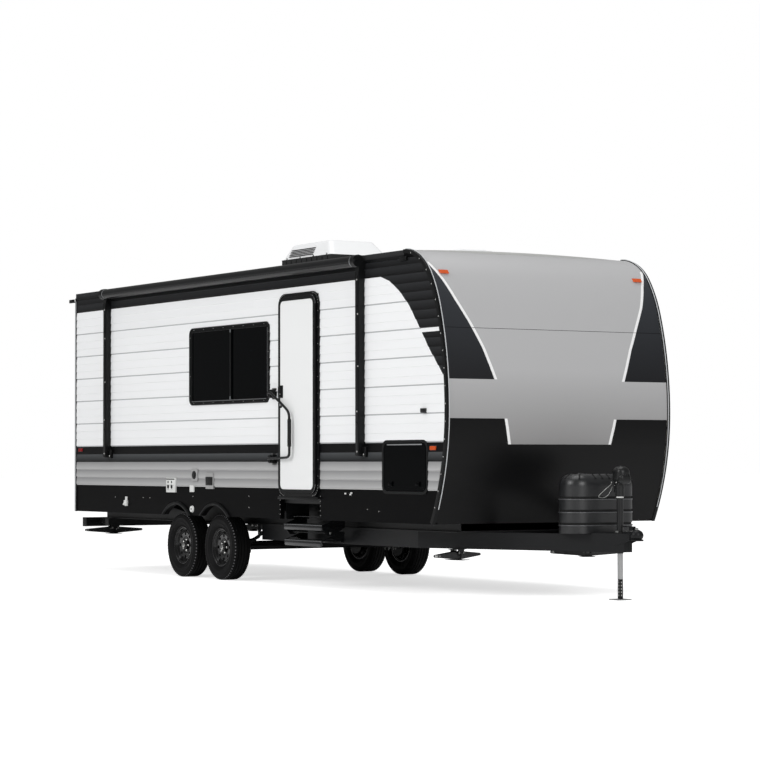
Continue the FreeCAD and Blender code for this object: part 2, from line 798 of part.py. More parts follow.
def coupler():
    rear = at(coupler_rear_station)
    rear_y = (at(tongue_apex_station) - rear) * tongue_slope + tongue_w / 2
    plate = plate_xy([(rear, -rear_y), (rear, rear_y), (socket_x, coupler_neck_half),
                      (socket_x, -coupler_neck_half)],
                     rail_bottom_z, rail_bottom_z + coupler_plate_t)
    parts = [plate]
    for side in (-1, 1):
        outer = side * coupler_neck_half
        inner = side * (coupler_neck_half - coupler_neck_wall)
        parts.append(block(at(tongue_end_station), socket_x, min(outer, inner), max(outer, inner),
                           socket_low_z, rail_bottom_z + coupler_plate_t))
    parts.append(rod(V(socket_x, 0, socket_low_z), ALONG_Z, socket_r, socket_top_z - socket_low_z))
    parts.append(block(socket_x - coupler_latch_len, socket_x, -coupler_latch_w / 2,
                       coupler_latch_w / 2, rail_bottom_z, coupler_latch_z))
    body = joined(parts)
    body = body.cut(rod(V(socket_x, 0, socket_low_z - cut_over), ALONG_Z, ball_bore_r,
                        ball_bore_depth + cut_over))
    return body.cut(rod(V(at(jack_station), 0, rail_bottom_z - cut_over), ALONG_Z,
                        jack_tube_r + jack_tube_gap, coupler_plate_t + 2 * cut_over))


tray = block(tray_x0, tray_x0 + tray_len, -tray_half, tray_half,
             rail_bottom_z, rail_bottom_z + tray_t)
tongue_tie = block(at(tongue_bend_station), at(tongue_bend_station) + tongue_w,
                   -rail_centre_y, rail_centre_y, tongue_z0, rail_bottom_z)
tongue_left = tongue_side()
keep("coupler", coupler())

# Tongue jack: a powered head on a fixed tube, and the sliding leg with its foot
jack_bore_gap = 0.3
jack_leg_r = 24.0
jack_tube_low_z = 400.0
jack_tube_top_z = 1012.0
jack_cap_t = 12.0
jack_flange_t = 8.0
jack_flange_r = 70.0
jack_head_top_z = 1146.0
jack_head_len = 128.0
jack_head_w = 108.0
jack_head_back = 46.0
jack_head_round = 48.0
jack_neck_r = 38.0
jack_neck_low_z = 893.0
jack_leg_top_z = 620.0
jack_drop_top_z = 180.0
jack_drop_size = 33.0
jack_foot_t = 8.0
jack_foot_half = 70.0

jack_x = at(jack_station)
jack_flange_z = rail_bottom_z + coupler_plate_t
jack_tube_shape = rod(V(jack_x, 0, jack_tube_low_z), ALONG_Z, jack_tube_r,
                      jack_tube_top_z - jack_tube_low_z)
jack_flange = rod(V(jack_x, 0, jack_flange_z), ALONG_Z, jack_flange_r, jack_flange_t)
jack_head = block(jack_x - jack_head_back, jack_x - jack_head_back + jack_head_len,
                  -jack_head_w / 2, jack_head_w / 2, jack_tube_top_z - jack_cap_t, jack_head_top_z)
jack_head = jack_head.makeFillet(jack_head_round, [e for e in jack_head.Edges
                                                   if e.CenterOfMass.z > jack_tube_top_z])
jack_neck = rod(V(jack_x, 0, jack_neck_low_z), ALONG_Z, jack_neck_r, jack_tube_top_z - jack_neck_low_z)
jack_bore = rod(V(jack_x, 0, jack_tube_low_z - cut_over), ALONG_Z, jack_leg_r + jack_bore_gap,
                jack_tube_top_z - jack_cap_t - jack_tube_low_z + cut_over)
keep("tongue_jack", joined([jack_tube_shape, jack_flange, jack_neck, jack_head]).cut(jack_bore))

jack_leg = rod(V(jack_x, 0, jack_drop_top_z), ALONG_Z, jack_leg_r, jack_leg_top_z - jack_drop_top_z)
jack_drop = block(jack_x - jack_drop_size / 2, jack_x + jack_drop_size / 2, -jack_drop_size / 2,
                  jack_drop_size / 2, jack_foot_t, jack_drop_top_z)
jack_foot = block(jack_x - jack_foot_half, jack_x + jack_foot_half, -jack_foot_half,
                  jack_foot_half, 0, jack_foot_t)
keep("tongue_jack_leg", joined([jack_leg, jack_drop, jack_foot]))

# Gas bottle cover: one deep moulded hood with a domed top and three grooves
cover_back = 643.0
cover_len = 330.0
cover_w = 700.0
cover_top_z = 1085.0
cover_round = 150.0
cover_dome = 105.0
cover_groove = 8.0
cover_groove_h = 22.0
cover_groove_shares = (0.14, 0.36, 0.58)

cover_station = tongue_reach - cover_back
cover_z0 = rail_bottom_z + tray_t


def bottle_cover():
    x0 = at(cover_station) - cover_len / 2
    hood = block(x0, x0 + cover_len, -cover_w / 2, cover_w / 2, cover_z0, cover_top_z)
    hood = hood.makeFillet(cover_round, [e for e in hood.Edges
                                         if abs(e.tangentAt(e.FirstParameter).z) > 0.9])
    hood = hood.makeFillet(cover_dome, [e for e in hood.Edges if e.BoundBox.ZMin > cover_top_z - cover_dome])
    core = block(x0 + cover_groove, x0 + cover_len - cover_groove, -cover_w / 2 + cover_groove,
                 cover_w / 2 - cover_groove, cover_z0, cover_top_z)
    core = core.makeFillet(cover_round - cover_groove, [e for e in core.Edges
                                                        if abs(e.tangentAt(e.FirstParameter).z) > 0.9])
    for share in cover_groove_shares:
        z = cover_z0 + share * (cover_top_z - cover_z0)
        slot = block(x0 - cut_over, x0 + cover_len + cut_over, -cover_w, cover_w, z, z + cover_groove_h)
        hood = hood.cut(slot.cut(core))
    return hood


keep("bottle_cover", bottle_cover())

# Scissor stabilisers: base, two upper arms, two lower arms and a foot, folded flat
arm_reach = 295.0
arm_fold = 4.5
arm_h = 26.0
arm_w = 56.0
arm_plate_t = 4.0
arm_web_back = 34.0
arm_lane_gap = 1.0
pivot_half = 36.0
pin_r = 6.0
stab_swing = 42.0
base_t = 6.0
base_len = 170.0
base_w = 84.0
base_pin_drop = 34.0
foot_pin_rise = 16.0
foot_t = 5.0
foot_len = 120.0
foot_w = 190.0
rear_stab_station = 300.0
rear_stab_out = 30.0
rear_stab_drop = 70.0
front_stab_back = 600.0
front_stab_out = 30.0

rear_stab_y = rail_centre_y + rear_stab_out
front_stab_station = body_reach - front_stab_back

arm_drop = arm_reach * math.sin(math.radians(arm_fold))
arm_run = arm_reach * math.cos(math.radians(arm_fold))


def arm(length, width, web_up):
    """An arm from the origin along +X: two side plates with round ends and a web along one edge."""
    half = arm_h / 2
    parts = []
    for y in (-width / 2, width / 2 - arm_plate_t):
        parts.append(block(0, length, y, y + arm_plate_t, -half, half))
        parts += [rod(V(x, y, 0), ALONG_Y, half, arm_plate_t) for x in (0, length)]
    z0 = half - arm_plate_t if web_up else -half
    parts.append(block(arm_web_back, length - arm_web_back, -width / 2, width / 2, z0, z0 + arm_plate_t))
    return joined(parts)


def pinned(body, x, width, radius_gain):
    """Bore an arm's end for the pin that passes through it."""
    return body.cut(rod(V(x, -width / 2 - cut_over, 0), ALONG_Y, pin_r + radius_gain,
                        width + 2 * cut_over))


def tilted(body, degrees, place):
    body.rotate(ORIGIN, ALONG_Y, -degrees)
    body.translate(place)
    return body


def flipped(body):
    return body.mirror(ORIGIN, ALONG_X)


def stabiliser_parts():
    """All pieces of one folded stabiliser, its base pins at height 0, +X pointing outboard."""
    lower_w = arm_w - 2 * arm_plate_t - 2 * arm_lane_gap
    upper = arm(arm_reach, arm_w, True)
    upper = pinned(upper, 0, arm_w, running_gap)
    upper = upper.fuse(rod(V(arm_reach, -arm_w / 2, 0), ALONG_Y, pin_r, arm_w)).removeSplitter()
    lower = arm(arm_reach, lower_w, False)
    lower = pinned(lower, 0, lower_w, running_gap)
    lower = pinned(lower, arm_reach, lower_w, running_gap)
    upper = tilted(upper, -arm_fold, V(pivot_half, 0, 0))
    lower = tilted(lower, arm_fold, V(pivot_half, 0, -2 * arm_drop))
    pins = [rod(V(side * pivot_half, -base_w / 2, 0), ALONG_Y, pin_r, base_w) for side in (-1, 1)]
    plate = block(-base_len / 2, base_len / 2, -base_w / 2, base_w / 2, base_pin_drop - base_t,
                  base_pin_drop)
    cheeks = [block(-pivot_half - arm_h / 2, pivot_half + arm_h / 2, y, y + arm_plate_t, -pin_r - arm_plate_t,
                    base_pin_drop) for y in (-base_w / 2, base_w / 2 - arm_plate_t)]
    base = joined([plate] + cheeks + pins)
    foot_inner = lower_w - 2 * arm_plate_t - 2 * arm_lane_gap
    foot_z = -2 * arm_drop
    foot_plate = block(-foot_len / 2, foot_len / 2, -foot_w / 2, foot_w / 2, foot_z - foot_pin_rise - foot_t,
                       foot_z - foot_pin_rise)
    foot_cheeks = [block(-pivot_half - pin_r, pivot_half + pin_r, y, y + arm_plate_t, foot_z - foot_pin_rise,
                         foot_z + pin_r) for y in (-foot_inner / 2, foot_inner / 2 - arm_plate_t)]
    foot_pins = [rod(V(side * pivot_half, -lower_w / 2, foot_z), ALONG_Y, pin_r, lower_w) for side in (-1, 1)]
    foot = joined([foot_plate] + foot_cheeks + foot_pins)
    return {"upper_outer": upper, "upper_inner": flipped(upper), "lower_outer": lower,
            "lower_inner": flipped(lower), "foot": foot, "base": base}


def stabiliser_places():
    """Name, centre of the base pins, and the turn that brings +X to each unit's outboard side."""
    rear_z = rail_bottom_z - rear_stab_drop - base_pin_drop
    front_z = tongue_z0 - base_pin_drop
    front_y = (tongue_apex_station - front_stab_station) * tongue_slope + front_stab_out
    turn = math.degrees(tongue_turn)
    return {
        "rear_right": (V(at(rear_stab_station), -rear_stab_y, rear_z), -90),
        "rear_left": (V(at(rear_stab_station), rear_stab_y, rear_z), 90),
        "front_right": (V(at(front_stab_station), -front_y, front_z), -90 + turn),
        "front_left": (V(at(front_stab_station), front_y, front_z), 90 - turn),
    }


def settled(shape, place, turn):
    body = shape.copy()
    body.rotate(ORIGIN, ALONG_Z, turn)
    body.translate(place)
    return body


STABILISERS = stabiliser_places()
stabiliser_shapes = stabiliser_parts()
rear_bases = []
front_bases = []
for corner, (place, turn) in STABILISERS.items():
    for part, shape in stabiliser_shapes.items():
        body = settled(shape, place, turn)
        if part != "base":
            keep("stabiliser_" + corner + "_" + part, body)
        elif corner.startswith("front"):
            front_bases.append(body)
        else:
            pad = block(place.x - base_w / 2, place.x + base_w / 2, place.y - base_len / 2, place.y + base_len / 2,
                        rail_bottom_z - rear_stab_drop, rail_bottom_z - running_gap)
            rear_bases.append(joined([body, pad]))
left_plates = main_rail() + [bumper_arm()] + [outrigger(body_reach * share) for share in outrigger_shares]
chassis_parts = left_plates + [mirrored(plate) for plate in left_plates] + step_frame() + [bumper()]
chassis_parts += [crossmember(body_reach * share) for share in cross_shares]
keep("chassis", *(chassis_parts + rear_bases))
keep("tongue_frame", joined([tongue_left, mirrored(tongue_left), tongue_tie, tray] + front_bases))

# Door and hatch leaves
door_y0 = -half_width - door_proud
door_panel = rounded_panel(door_x0, door_x1, door_bottom_z, door_z1, door_radius, door_y0, door_y0 + door_t)
door_barrel = rod(V(door_x1, door_y0, door_bottom_z + door_radius), ALONG_Z, door_hinge_r,
                  door_height - 2 * door_radius)
latch_w = 64.0
latch_h = 96.0
latch_out = 14.0
latch_in = 16.0
latch_z = 1822.0
lock_r = 20.0
lock_out = 9.0
lock_in = 48.0
lock_z = 1742.0
latch_x0 = door_x0 + latch_in
door_latch = block(latch_x0, latch_x0 + latch_w, door_y0 - latch_out, door_y0, latch_z, latch_z + latch_h)
door_lock = rod(V(door_x0 + lock_in, door_y0 - lock_out, lock_z), ALONG_Y, lock_r, lock_out)
keep("entry_door", joined([door_panel, door_barrel, door_latch, door_lock]))
bag_y0 = -half_width - bag_proud
bag_panel = rounded_panel(bag_x0, bag_x1, bag_bottom_z, bag_z1, bag_radius - bag_gap, bag_y0,
                          bag_y0 + bag_t)
bag_barrel = rod(V(bag_x0 + bag_radius, bag_y0, bag_z1), ALONG_X, bag_gap - running_gap,
                 bag_width - 2 * bag_radius)
bag_latch_w = 70.0
bag_latch_h = 44.0
bag_latch_out = 9.0
bag_latch_in = 90.0
bag_latch_rise = 40.0
bag_latches = [block(x, x + bag_latch_w, bag_y0 - bag_latch_out, bag_y0, bag_bottom_z + bag_latch_rise,
                     bag_bottom_z + bag_latch_rise + bag_latch_h)
               for x in (bag_x0 + bag_latch_in, bag_x1 - bag_latch_in - bag_latch_w)]
bag_leaf = joined([bag_panel, bag_barrel] + bag_latches)
keep("baggage_door_right", bag_leaf)
keep("baggage_door_left", mirrored(bag_leaf))

# Frames round the door, the hatches and the windows, on the outer faces of the walls
frame_y1 = -half_width
door_leaf_clear = 3.0


def ring(outer, inner):
    return outer.cut(inner)


def door_frame():
    pad = door_frame_w
    y0 = frame_y1 - door_frame_proud
    outer = rounded_panel(door_x0 - pad, door_x1 + pad, door_bottom_z - pad, door_z1 + pad,
                          door_radius + pad, y0, frame_y1)
    pad = door_leaf_clear
    inner = rounded_panel(door_x0 - pad, door_x1 + pad, door_bottom_z - pad, door_z1 + pad,
                          door_radius + pad, y0 - cut_over, frame_y1 + cut_over)
    return ring(outer, inner)


def bag_frame():
    pad = bag_frame_w
    y0 = frame_y1 - bag_frame_proud
    outer = rounded_panel(bag_x0 - pad, bag_x1 + pad, bag_bottom_z - pad, bag_z1 + pad,
                          bag_radius + pad / 2, y0, frame_y1)
    pad = bag_gap
    inner = rounded_panel(bag_x0 - pad, bag_x1 + pad, bag_bottom_z - pad, bag_z1 + pad,
                          bag_radius, y0 - cut_over, frame_y1 + cut_over)
    return ring(outer, inner)


def window_frame(window):
    y0 = frame_y1 - window_proud
    outer = window_panel(window, 0, y0, frame_y1)
    inner = window_panel(window, window_frame_w, y0 - cut_over, frame_y1 + cut_over)
    body = ring(outer, inner)
    station, sill, width, height = window
    x = at(station) + width * mullion_share
    bar = block(x - mullion_w / 2, x + mullion_w / 2, y0, frame_y1, sill + window_frame_w / 2,
                sill + height - window_frame_w / 2)
    return joined([body, bar])


def window_pane(window):
    y1 = frame_y1 + glass_back
    return window_panel(window, window_frame_w / 2, y1 - glass_back, y1 - glass_back + glass_t)


rear_x0 = at(0) - window_proud
rear_ring = ring(rear_panel(0, rear_x0, at(0)), rear_panel(window_frame_w, rear_x0 - cut_over, at(0) + cut_over))
rear_pane = rear_panel(window_frame_w / 2, at(0), at(0) + glass_t)
left_bag_frame = mirrored(bag_frame())
keep("window_frames", *([window_frame(w) for w in window_right_list]
                        + [mirrored(window_frame(w)) for w in window_left_list] + [rear_ring]))
keep("window_glass", *([window_pane(w) for w in window_right_list]
                       + [mirrored(window_pane(w)) for w in window_left_list] + [rear_pane]))

# Assist rail: a bent tube folded across the door, and its two brackets on the wall
rail_bar_r = 14.0
rail_post_gap = 140.0
rail_top_z = 1854.0
rail_low_z = 1222.0
rail_grip_reach = 400.0
rail_knee_z = 1640.0
rail_foot_z = 1300.0
rail_stand = 78.0
bracket_w = 46.0
bracket_h = 70.0
bracket_gap = 0.5

rail_y = -half_width - rail_stand
rail_post_x = door_x0 - rail_post_gap
rail_grip_x = rail_post_x + rail_grip_reach


def assist_rail():
    points = [V(rail_post_x, rail_y, rail_top_z), V(rail_grip_x, rail_y, rail_knee_z),
              V(rail_grip_x, rail_y, rail_foot_z), V(rail_post_x, rail_y, rail_low_z)]
    parts = []
    for a, b in zip(points, points[1:]):
        parts.append(rod(a, b - a, rail_bar_r, (b - a).Length))
    parts += [Part.makeSphere(rail_bar_r, p) for p in points[1:-1]]
    return joined(parts)


def rail_bracket(z):
    return block(rail_post_x - bracket_w / 2, rail_post_x + bracket_w / 2,
                 rail_y + rail_bar_r + bracket_gap, -half_width, z - bracket_h / 2, z + bracket_h / 2)


keep("assist_rail", assist_rail())
keep("door_frames", door_frame(), bag_frame(), left_bag_frame, rail_bracket(rail_top_z),
     rail_bracket(rail_low_z))

# Awning: two box arms with rounded heads on the right wall, and the roller between the heads
awning_rear_station = 850.0
awning_front_back = 1430.0
awning_arm_w = 65.0
awning_arm_d = 68.0
awning_low_z = 1250.0
awning_axis_drop = 5.0
awning_axis_out = 73.0
roller_r = 52.5
head_r = 58.0

awning_front_station = body_reach - awning_front_back
awning_axis_z = eave_z - awning_axis_drop
roller_y = -half_width - awning_axis_out


def awning_arm(station):
    x0 = at(station)
    post = block(x0, x0 + awning_arm_w, -half_width - awning_arm_d, -half_width, awning_low_z, awning_axis_z)
    head = rod(V(x0, roller_y, awning_axis_z), ALONG_X, head_r, awning_arm_w)
    return joined([post, head])


roller_x0 = at(awning_rear_station) + awning_arm_w
keep("awning_arms", awning_arm(awning_rear_station), awning_arm(awning_front_station))
keep("awning_roller", rod(V(roller_x0, roller_y, awning_axis_z), ALONG_X, roller_r,
                          at(awning_front_station) - roller_x0))

# Trims: angle mouldings along the nose and rear corners, a gutter rail below each eave, and a raised lip
# round each wheel arch
trim_t = 6.0
trim_w = 24.0
trim_leg = 30.0
trim_leg_t = 9.0
gutter_h = 22.0
gutter_proud = 13.0
gutter_gap = 1.0
lip_w = 28.0
lip_out = 24.0
lip_bevel = 12.0


def arch_lip(station):
    """A raised ring that follows the wheel arch down to the skirt's lower edge, bevelled outside."""
    wall = -half_width
    centre = V(at(station), 0, tyre_radius)
    top = arch_radius + lip_w
    section = [(arch_radius, wall), (top, wall), (top, wall - lip_out + lip_bevel),
               (top - lip_bevel, wall - lip_out), (arch_radius, wall - lip_out)]
    lip = spun(section, "y")
    lip.translate(centre)
    return lip.common(block(centre.x - top, centre.x + top, wall - lip_out, wall, skirt_z, tyre_radius + top))


trim_front = joined([nose_shell(-trim_t, 0, -half_width, -half_width + trim_w),
                     nose_shell(-trim_t, trim_leg, -half_width - trim_leg_t, -half_width)])
trim_rear = joined([block(at(0) - trim_t, at(0), -half_width, -half_width + trim_w, skirt_z, roof_edge_z),
                    block(at(0) - trim_t, at(0) + trim_leg, -half_width - trim_leg_t, -half_width, skirt_z,
                          eave_z - gutter_h)])
gutter = block(at(0), nose_top_x, -half_width - gutter_proud, -half_width, eave_z - gutter_h, eave_z)
for station in (awning_rear_station, awning_front_station):
    gutter = gutter.cut(block(at(station) - gutter_gap, at(station) + awning_arm_w + gutter_gap,
                              -half_width - cut_over, -half_width, eave_z - 2 * gutter_h, eave_z + gutter_h))
trims = [trim_front, trim_rear, gutter] + [arch_lip(station) for station in wheel_stations()]
keep("corner_trims", *(trims + [mirrored(t) for t in trims]))

# Air conditioner and roof vents on the crown of the roof
roof_top_z = roof_edge_z + roof_crown
cooler_share = 0.414
cooler_len = 1000.0
cooler_w = 680.0
cooler_base_h = 170.0
cooler_h = 330.0
cooler_round = 60.0
cooler_taper = 80.0
vent_shares = (0.1774, 0.7687)
vent_size = 400.0
vent_h = 70.0
vent_round = 20.0


def cooler():
    x0 = at(body_reach * cooler_share)
    base = block(x0, x0 + cooler_len, -cooler_w / 2, cooler_w / 2, roof_top_z, roof_top_z + cooler_base_h)
    z1 = roof_top_z + cooler_base_h
    z2 = roof_top_z + cooler_h
    low = [V(x0, -cooler_w / 2, z1), V(x0 + cooler_len, -cooler_w / 2, z1),
           V(x0 + cooler_len, cooler_w / 2, z1), V(x0, cooler_w / 2, z1)]
    pad = cooler_taper
    high = [V(x0 + pad, -cooler_w / 2 + pad, z2), V(x0 + cooler_len - 2 * pad, -cooler_w / 2 + pad, z2),
            V(x0 + cooler_len - 2 * pad, cooler_w / 2 - pad, z2), V(x0 + pad, cooler_w / 2 - pad, z2)]
    wires = [Part.makePolygon(points + points[:1]) for points in (low, high)]
    shroud = Part.makeLoft(wires, True, True)
    shroud = shroud.makeFillet(cooler_round, [e for e in shroud.Edges if e.BoundBox.ZMax > z1 + cooler_taper])
    return joined([base, shroud])


def roof_vent(station):
    x0 = at(station)
    lid = block(x0, x0 + vent_size, -vent_size / 2, vent_size / 2, roof_top_z, roof_top_z + vent_h)
    return lid.makeFillet(vent_round, [e for e in lid.Edges if e.BoundBox.ZMax > roof_top_z + vent_round])


keep("roof_units", cooler(), *[roof_vent(body_reach * share) for share in vent_shares])

# Lamps: amber markers at the nose, red markers and tail lamps at the rear
marker_w = 90.0
marker_h = 34.0
marker_proud = 16.0
side_amber_back = 213.0
side_amber_z = 1313.0
side_red_station = 148.0
side_red_z = 1329.0
cap_lamp_inset = 149.0
cap_lamp_z = 2870.0
tail_w = 90.0
tail_h = 260.0
tail_inset = 209.0
tail_z = 980.0
top_lamp_inset = 219.0
top_lamp_z = 2900.0


cap_lamp_y = half_width - cap_lamp_inset


def side_marker(station, z):
    x = at(station)
    return block(x - marker_w / 2, x + marker_w / 2, -half_width - marker_proud, -half_width,
                 z - marker_h / 2, z + marker_h / 2)


def cap_marker():
    shell = nose_shell(-marker_proud, 0, -cap_lamp_y - marker_w / 2, -cap_lamp_y + marker_w / 2)
    x0 = nose_top_x
    window = block(x0, at(body_reach), -half_width, 0, cap_lamp_z - marker_h / 2, cap_lamp_z + marker_h / 2)
    return shell.common(window)


def rear_lamp(y, z, width, height):
    return block(at(0) - marker_proud, at(0), y - width / 2, y + width / 2, z - height / 2, z + height / 2)


ambers = [side_marker(body_reach - side_amber_back, side_amber_z), cap_marker()]
reds = [side_marker(side_red_station, side_red_z), rear_lamp(tail_inset - half_width, tail_z, tail_w, tail_h),
        rear_lamp(top_lamp_inset - half_width, top_lamp_z, marker_w, marker_h)]
keep("amber_lamps", *(ambers + [mirrored(lamp) for lamp in ambers]))
keep("red_lamps", *(reds + [mirrored(lamp) for lamp in reds]))

# Service hatches and fittings: (station, height, width, height of the piece, how far it stands out)
front_axle_station = rear_axle_station + axle_spacing
kitchen_front = body_reach * kitchen_share + kitchen_size[0]
square_vent = (front_axle_station, -84.0, 1000.0, 150.0, 150.0, 14.0)
power_inlet = (front_axle_station, -412.0, 1060.0, 90.0, 120.0, 18.0)
outlet_cover = (rear_axle_station, -97.0, 954.0, 200.0, 150.0, 22.0)
water_spout = (rear_axle_station, -1173.0, 752.0, 60.0, 60.0, 24.0)
porch_lamp = (body_reach, -357.0, 1644.0, 70.0, 40.0, 26.0)
fridge_vent_low = (kitchen_front, 390.0, 1050.0, 520.0, 360.0, 16.0)
fridge_vent_high = (kitchen_front, 390.0, 2450.0, 520.0, 260.0, 16.0)
heater_door = (rear_axle_station, -730.0, 980.0, 430.0, 430.0, 18.0)
furnace_vent = (kitchen_front, 1540.0, 1000.0, 260.0, 200.0, 14.0)
water_inlet = (rear_axle_station, -130.0, 1120.0, 130.0, 130.0, 20.0)


def fitting(size):
    """A flat cover on the right wall, placed by a station and an offset from it."""
    station, offset, z, width, height, proud = size
    x = at(station) + offset
    return block(x - width / 2, x + width / 2, -half_width - proud, -half_width, z - height / 2, z + height / 2)


fittings_right = [fitting(s) for s in (square_vent, power_inlet, outlet_cover, water_spout, porch_lamp)]
fittings_left = [mirrored(fitting(s)) for s in (fridge_vent_low, fridge_vent_high, heater_door,
                                                furnace_vent, water_inlet)]
keep("service_fittings", *(fittings_right + fittings_left))

os.makedirs("parts", exist_ok=True)
for name, shape in NODES.items():
    shape.exportStep("parts/" + name + ".step")
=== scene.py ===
# Travel caravan seen from its right front corner. Metres: +X forward, +Y left, +Z up, ground at zero.
# Stations along the body are measured forward from the outer face of the rear wall.
import math

import bmesh
import bpy
from mathutils import Matrix, Vector


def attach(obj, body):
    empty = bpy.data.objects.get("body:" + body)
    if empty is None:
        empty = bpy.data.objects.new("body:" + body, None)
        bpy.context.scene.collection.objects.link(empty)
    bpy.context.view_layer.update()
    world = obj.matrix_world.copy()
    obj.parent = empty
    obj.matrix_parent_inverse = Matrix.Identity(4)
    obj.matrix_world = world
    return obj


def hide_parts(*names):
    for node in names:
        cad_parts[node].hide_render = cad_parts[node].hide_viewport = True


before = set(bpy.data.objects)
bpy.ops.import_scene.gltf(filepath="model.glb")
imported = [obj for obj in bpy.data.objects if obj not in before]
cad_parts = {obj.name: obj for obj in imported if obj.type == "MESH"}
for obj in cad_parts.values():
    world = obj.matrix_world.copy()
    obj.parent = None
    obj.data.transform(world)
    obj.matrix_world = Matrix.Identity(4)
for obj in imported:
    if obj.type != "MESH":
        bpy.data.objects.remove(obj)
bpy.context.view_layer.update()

# Camera: standing off the right front corner at eye height, looking slightly up.
# Its place and turn were solved from the straight edges of the body.
camera_place = Vector((17.37695, -13.19070, 1.19867))
camera_heading = math.radians(58.2430)
camera_pitch = math.radians(1.8515)
camera_roll = math.radians(-0.0824)
camera_lens = 119.03
camera_sensor = 36.0
camera_far = 400.0

ahead = Vector((-math.sin(camera_heading) * math.cos(camera_pitch),
                math.cos(camera_heading) * math.cos(camera_pitch),
                math.sin(camera_pitch)))
level = Vector((math.cos(camera_heading), math.sin(camera_heading), 0))
rise = level.cross(ahead)
camera_right = level * math.cos(camera_roll) + rise * math.sin(camera_roll)
camera_up = rise * math.cos(camera_roll) - level * math.sin(camera_roll)
camera = bpy.data.objects.new("camera", bpy.data.cameras.new("camera"))
camera.data.lens = camera_lens
camera.data.sensor_width = camera_sensor
camera.data.clip_end = camera_far
camera.matrix_world = Matrix((
    (camera_right.x, camera_up.x, -ahead.x, camera_place.x),
    (camera_right.y, camera_up.y, -ahead.y, camera_place.y),
    (camera_right.z, camera_up.z, -ahead.z, camera_place.z),
    (0, 0, 0, 1)))
bpy.context.collection.objects.link(camera)
bpy.context.scene.camera = camera
bpy.context.scene.view_settings.view_transform = "Standard"

# Studio: a pale sweep of floor, a white surround and three large soft boxes.
# The surround is white to the camera, dimmer as a light and dimmer still in reflections.
floor_half = 150.0
surround_light = 0.50
surround_mirror = 0.22
key_power = 1350.0
front_power = 660.0
top_power = 640.0
floor_glow = 0.62
floor_tone = (0.93, 0.93, 0.93, 1)
floor_rough = 0.9
floor_sheen = 0.1
white = (1, 1, 1, 1)


def soft_box(name, place, target, size, power):
    """A square area light that faces a point."""
    lamp = bpy.data.lights.new(name, "AREA")
    lamp.size = size
    lamp.energy = power
    holder = bpy.data.objects.new(name, lamp)
    holder.location = place
    holder.rotation_euler = (Vector(target) - Vector(place)).to_track_quat("-Z", "Y").to_euler()
    bpy.context.collection.objects.link(holder)


soft_box("key_light", (-3.5, -18, 11), (-6.2, 0, 1.5), 9.0, key_power)
soft_box("front_light", (13, -2, 7), (-2, 0, 1.5), 7.0, front_power)
soft_box("top_light", (-4, 0, 13), (-4, 0, 0), 10.0, top_power)


def preset(shader_node, values):
    """Sets inputs of a shader node."""
    for entry, value in values.items():
        shader_node.inputs[entry].default_value = value


def node(tree, kind, values=None, **settings):
    """Adds a shader node with its settings and the values of its inputs."""
    added = tree.nodes.new("ShaderNode" + kind)
    for setting, value in settings.items():
        setattr(added, setting, value)
    preset(added, values or {})
    return added


def wire(tree, *routes):
    """Joins shader nodes: each route is (node, output, node, input)."""
    for source, output, target, entry in routes:
        tree.links.new(source.outputs[output], target.inputs[entry])


surround = bpy.data.worlds.new("surround")
bpy.context.scene.world = surround
surround.use_nodes = True
sky = surround.node_tree
seen_by = node(sky, "LightPath")
seen_straight = node(sky, "Math", operation="MAXIMUM")
mirrored_light = node(sky, "MapRange", {"To Min": surround_light, "To Max": surround_mirror})
brightness = node(sky, "MapRange", {"To Max": 1.0})
preset(sky.nodes["Background"], {"Color": white})
wire(sky, (seen_by, "Is Glossy Ray", mirrored_light, "Value"), (seen_by, "Is Camera Ray", seen_straight, 0),
     (seen_by, "Is Transmission Ray", seen_straight, 1), (seen_straight, 0, brightness, "Value"),
     (mirrored_light, 0, brightness, "To Min"), (brightness, 0, sky.nodes["Background"], "Strength"))

floor_finish = bpy.data.materials.new("studio_floor")
floor_finish.use_nodes = True
floor_tree = floor_finish.node_tree
floor_shader = floor_tree.nodes["Principled BSDF"]
preset(floor_shader, {"Base Color": floor_tone, "Roughness": floor_rough, "Specular IOR Level": floor_sheen,
                      "Emission Color": white})
floor_seen = node(floor_tree, "LightPath")
floor_lift = node(floor_tree, "Math", {1: floor_glow}, operation="MULTIPLY")
wire(floor_tree, (floor_seen, "Is Camera Ray", floor_lift, 0),
     (floor_lift, 0, floor_shader, "Emission Strength"))
floor_form = bmesh.new()
bmesh.ops.create_grid(floor_form, x_segments=1, y_segments=1, size=floor_half)
floor_mesh = bpy.data.meshes.new("studio_floor")
floor_form.to_mesh(floor_mesh)
floor_form.free()
floor_mesh.materials.append(floor_finish)
studio_floor = bpy.data.objects.new("studio_floor", floor_mesh)
bpy.context.collection.objects.link(studio_floor)

# Side siding: prepainted aluminium sheet rolled into ribbed courses, a white field over grey and black belts.
# It is nailed to the studs, lapped course over course, and trimmed to the nose and round every opening.
body_rear_x = -8.4655
wall_y = 1.219
skirt_top = 0.940
grey_top = 1.195
black_top = 1.364
white_top = 2.868
siding_top = 3.012
planks = 6
ribs_in_plank = 3
sides = ((-1, "right"), (1, "left"))
rib_height = 0.0075
rib_foot = 0.0015
rib_butt = 0.003
plank_groove = 0.010
lap_share = 0.7
sheet_t = 0.001
nose_margin = 0.004
siding_rear_end = 0.004
siding_run = 7.61
nose_belly = Vector((-0.8555, 0, 1.650))
nose_down = (2.224, 26.86)
nose_up = ((3.067, 17.06), (1.164, 17.54), (0.4976, 55.40))
nose_steps = 7
coat_rough = 0.08
cloud_detail = 6.0
relief_depth = 0.001


def at(station):
    """A place along X from a station."""
    return body_rear_x + station


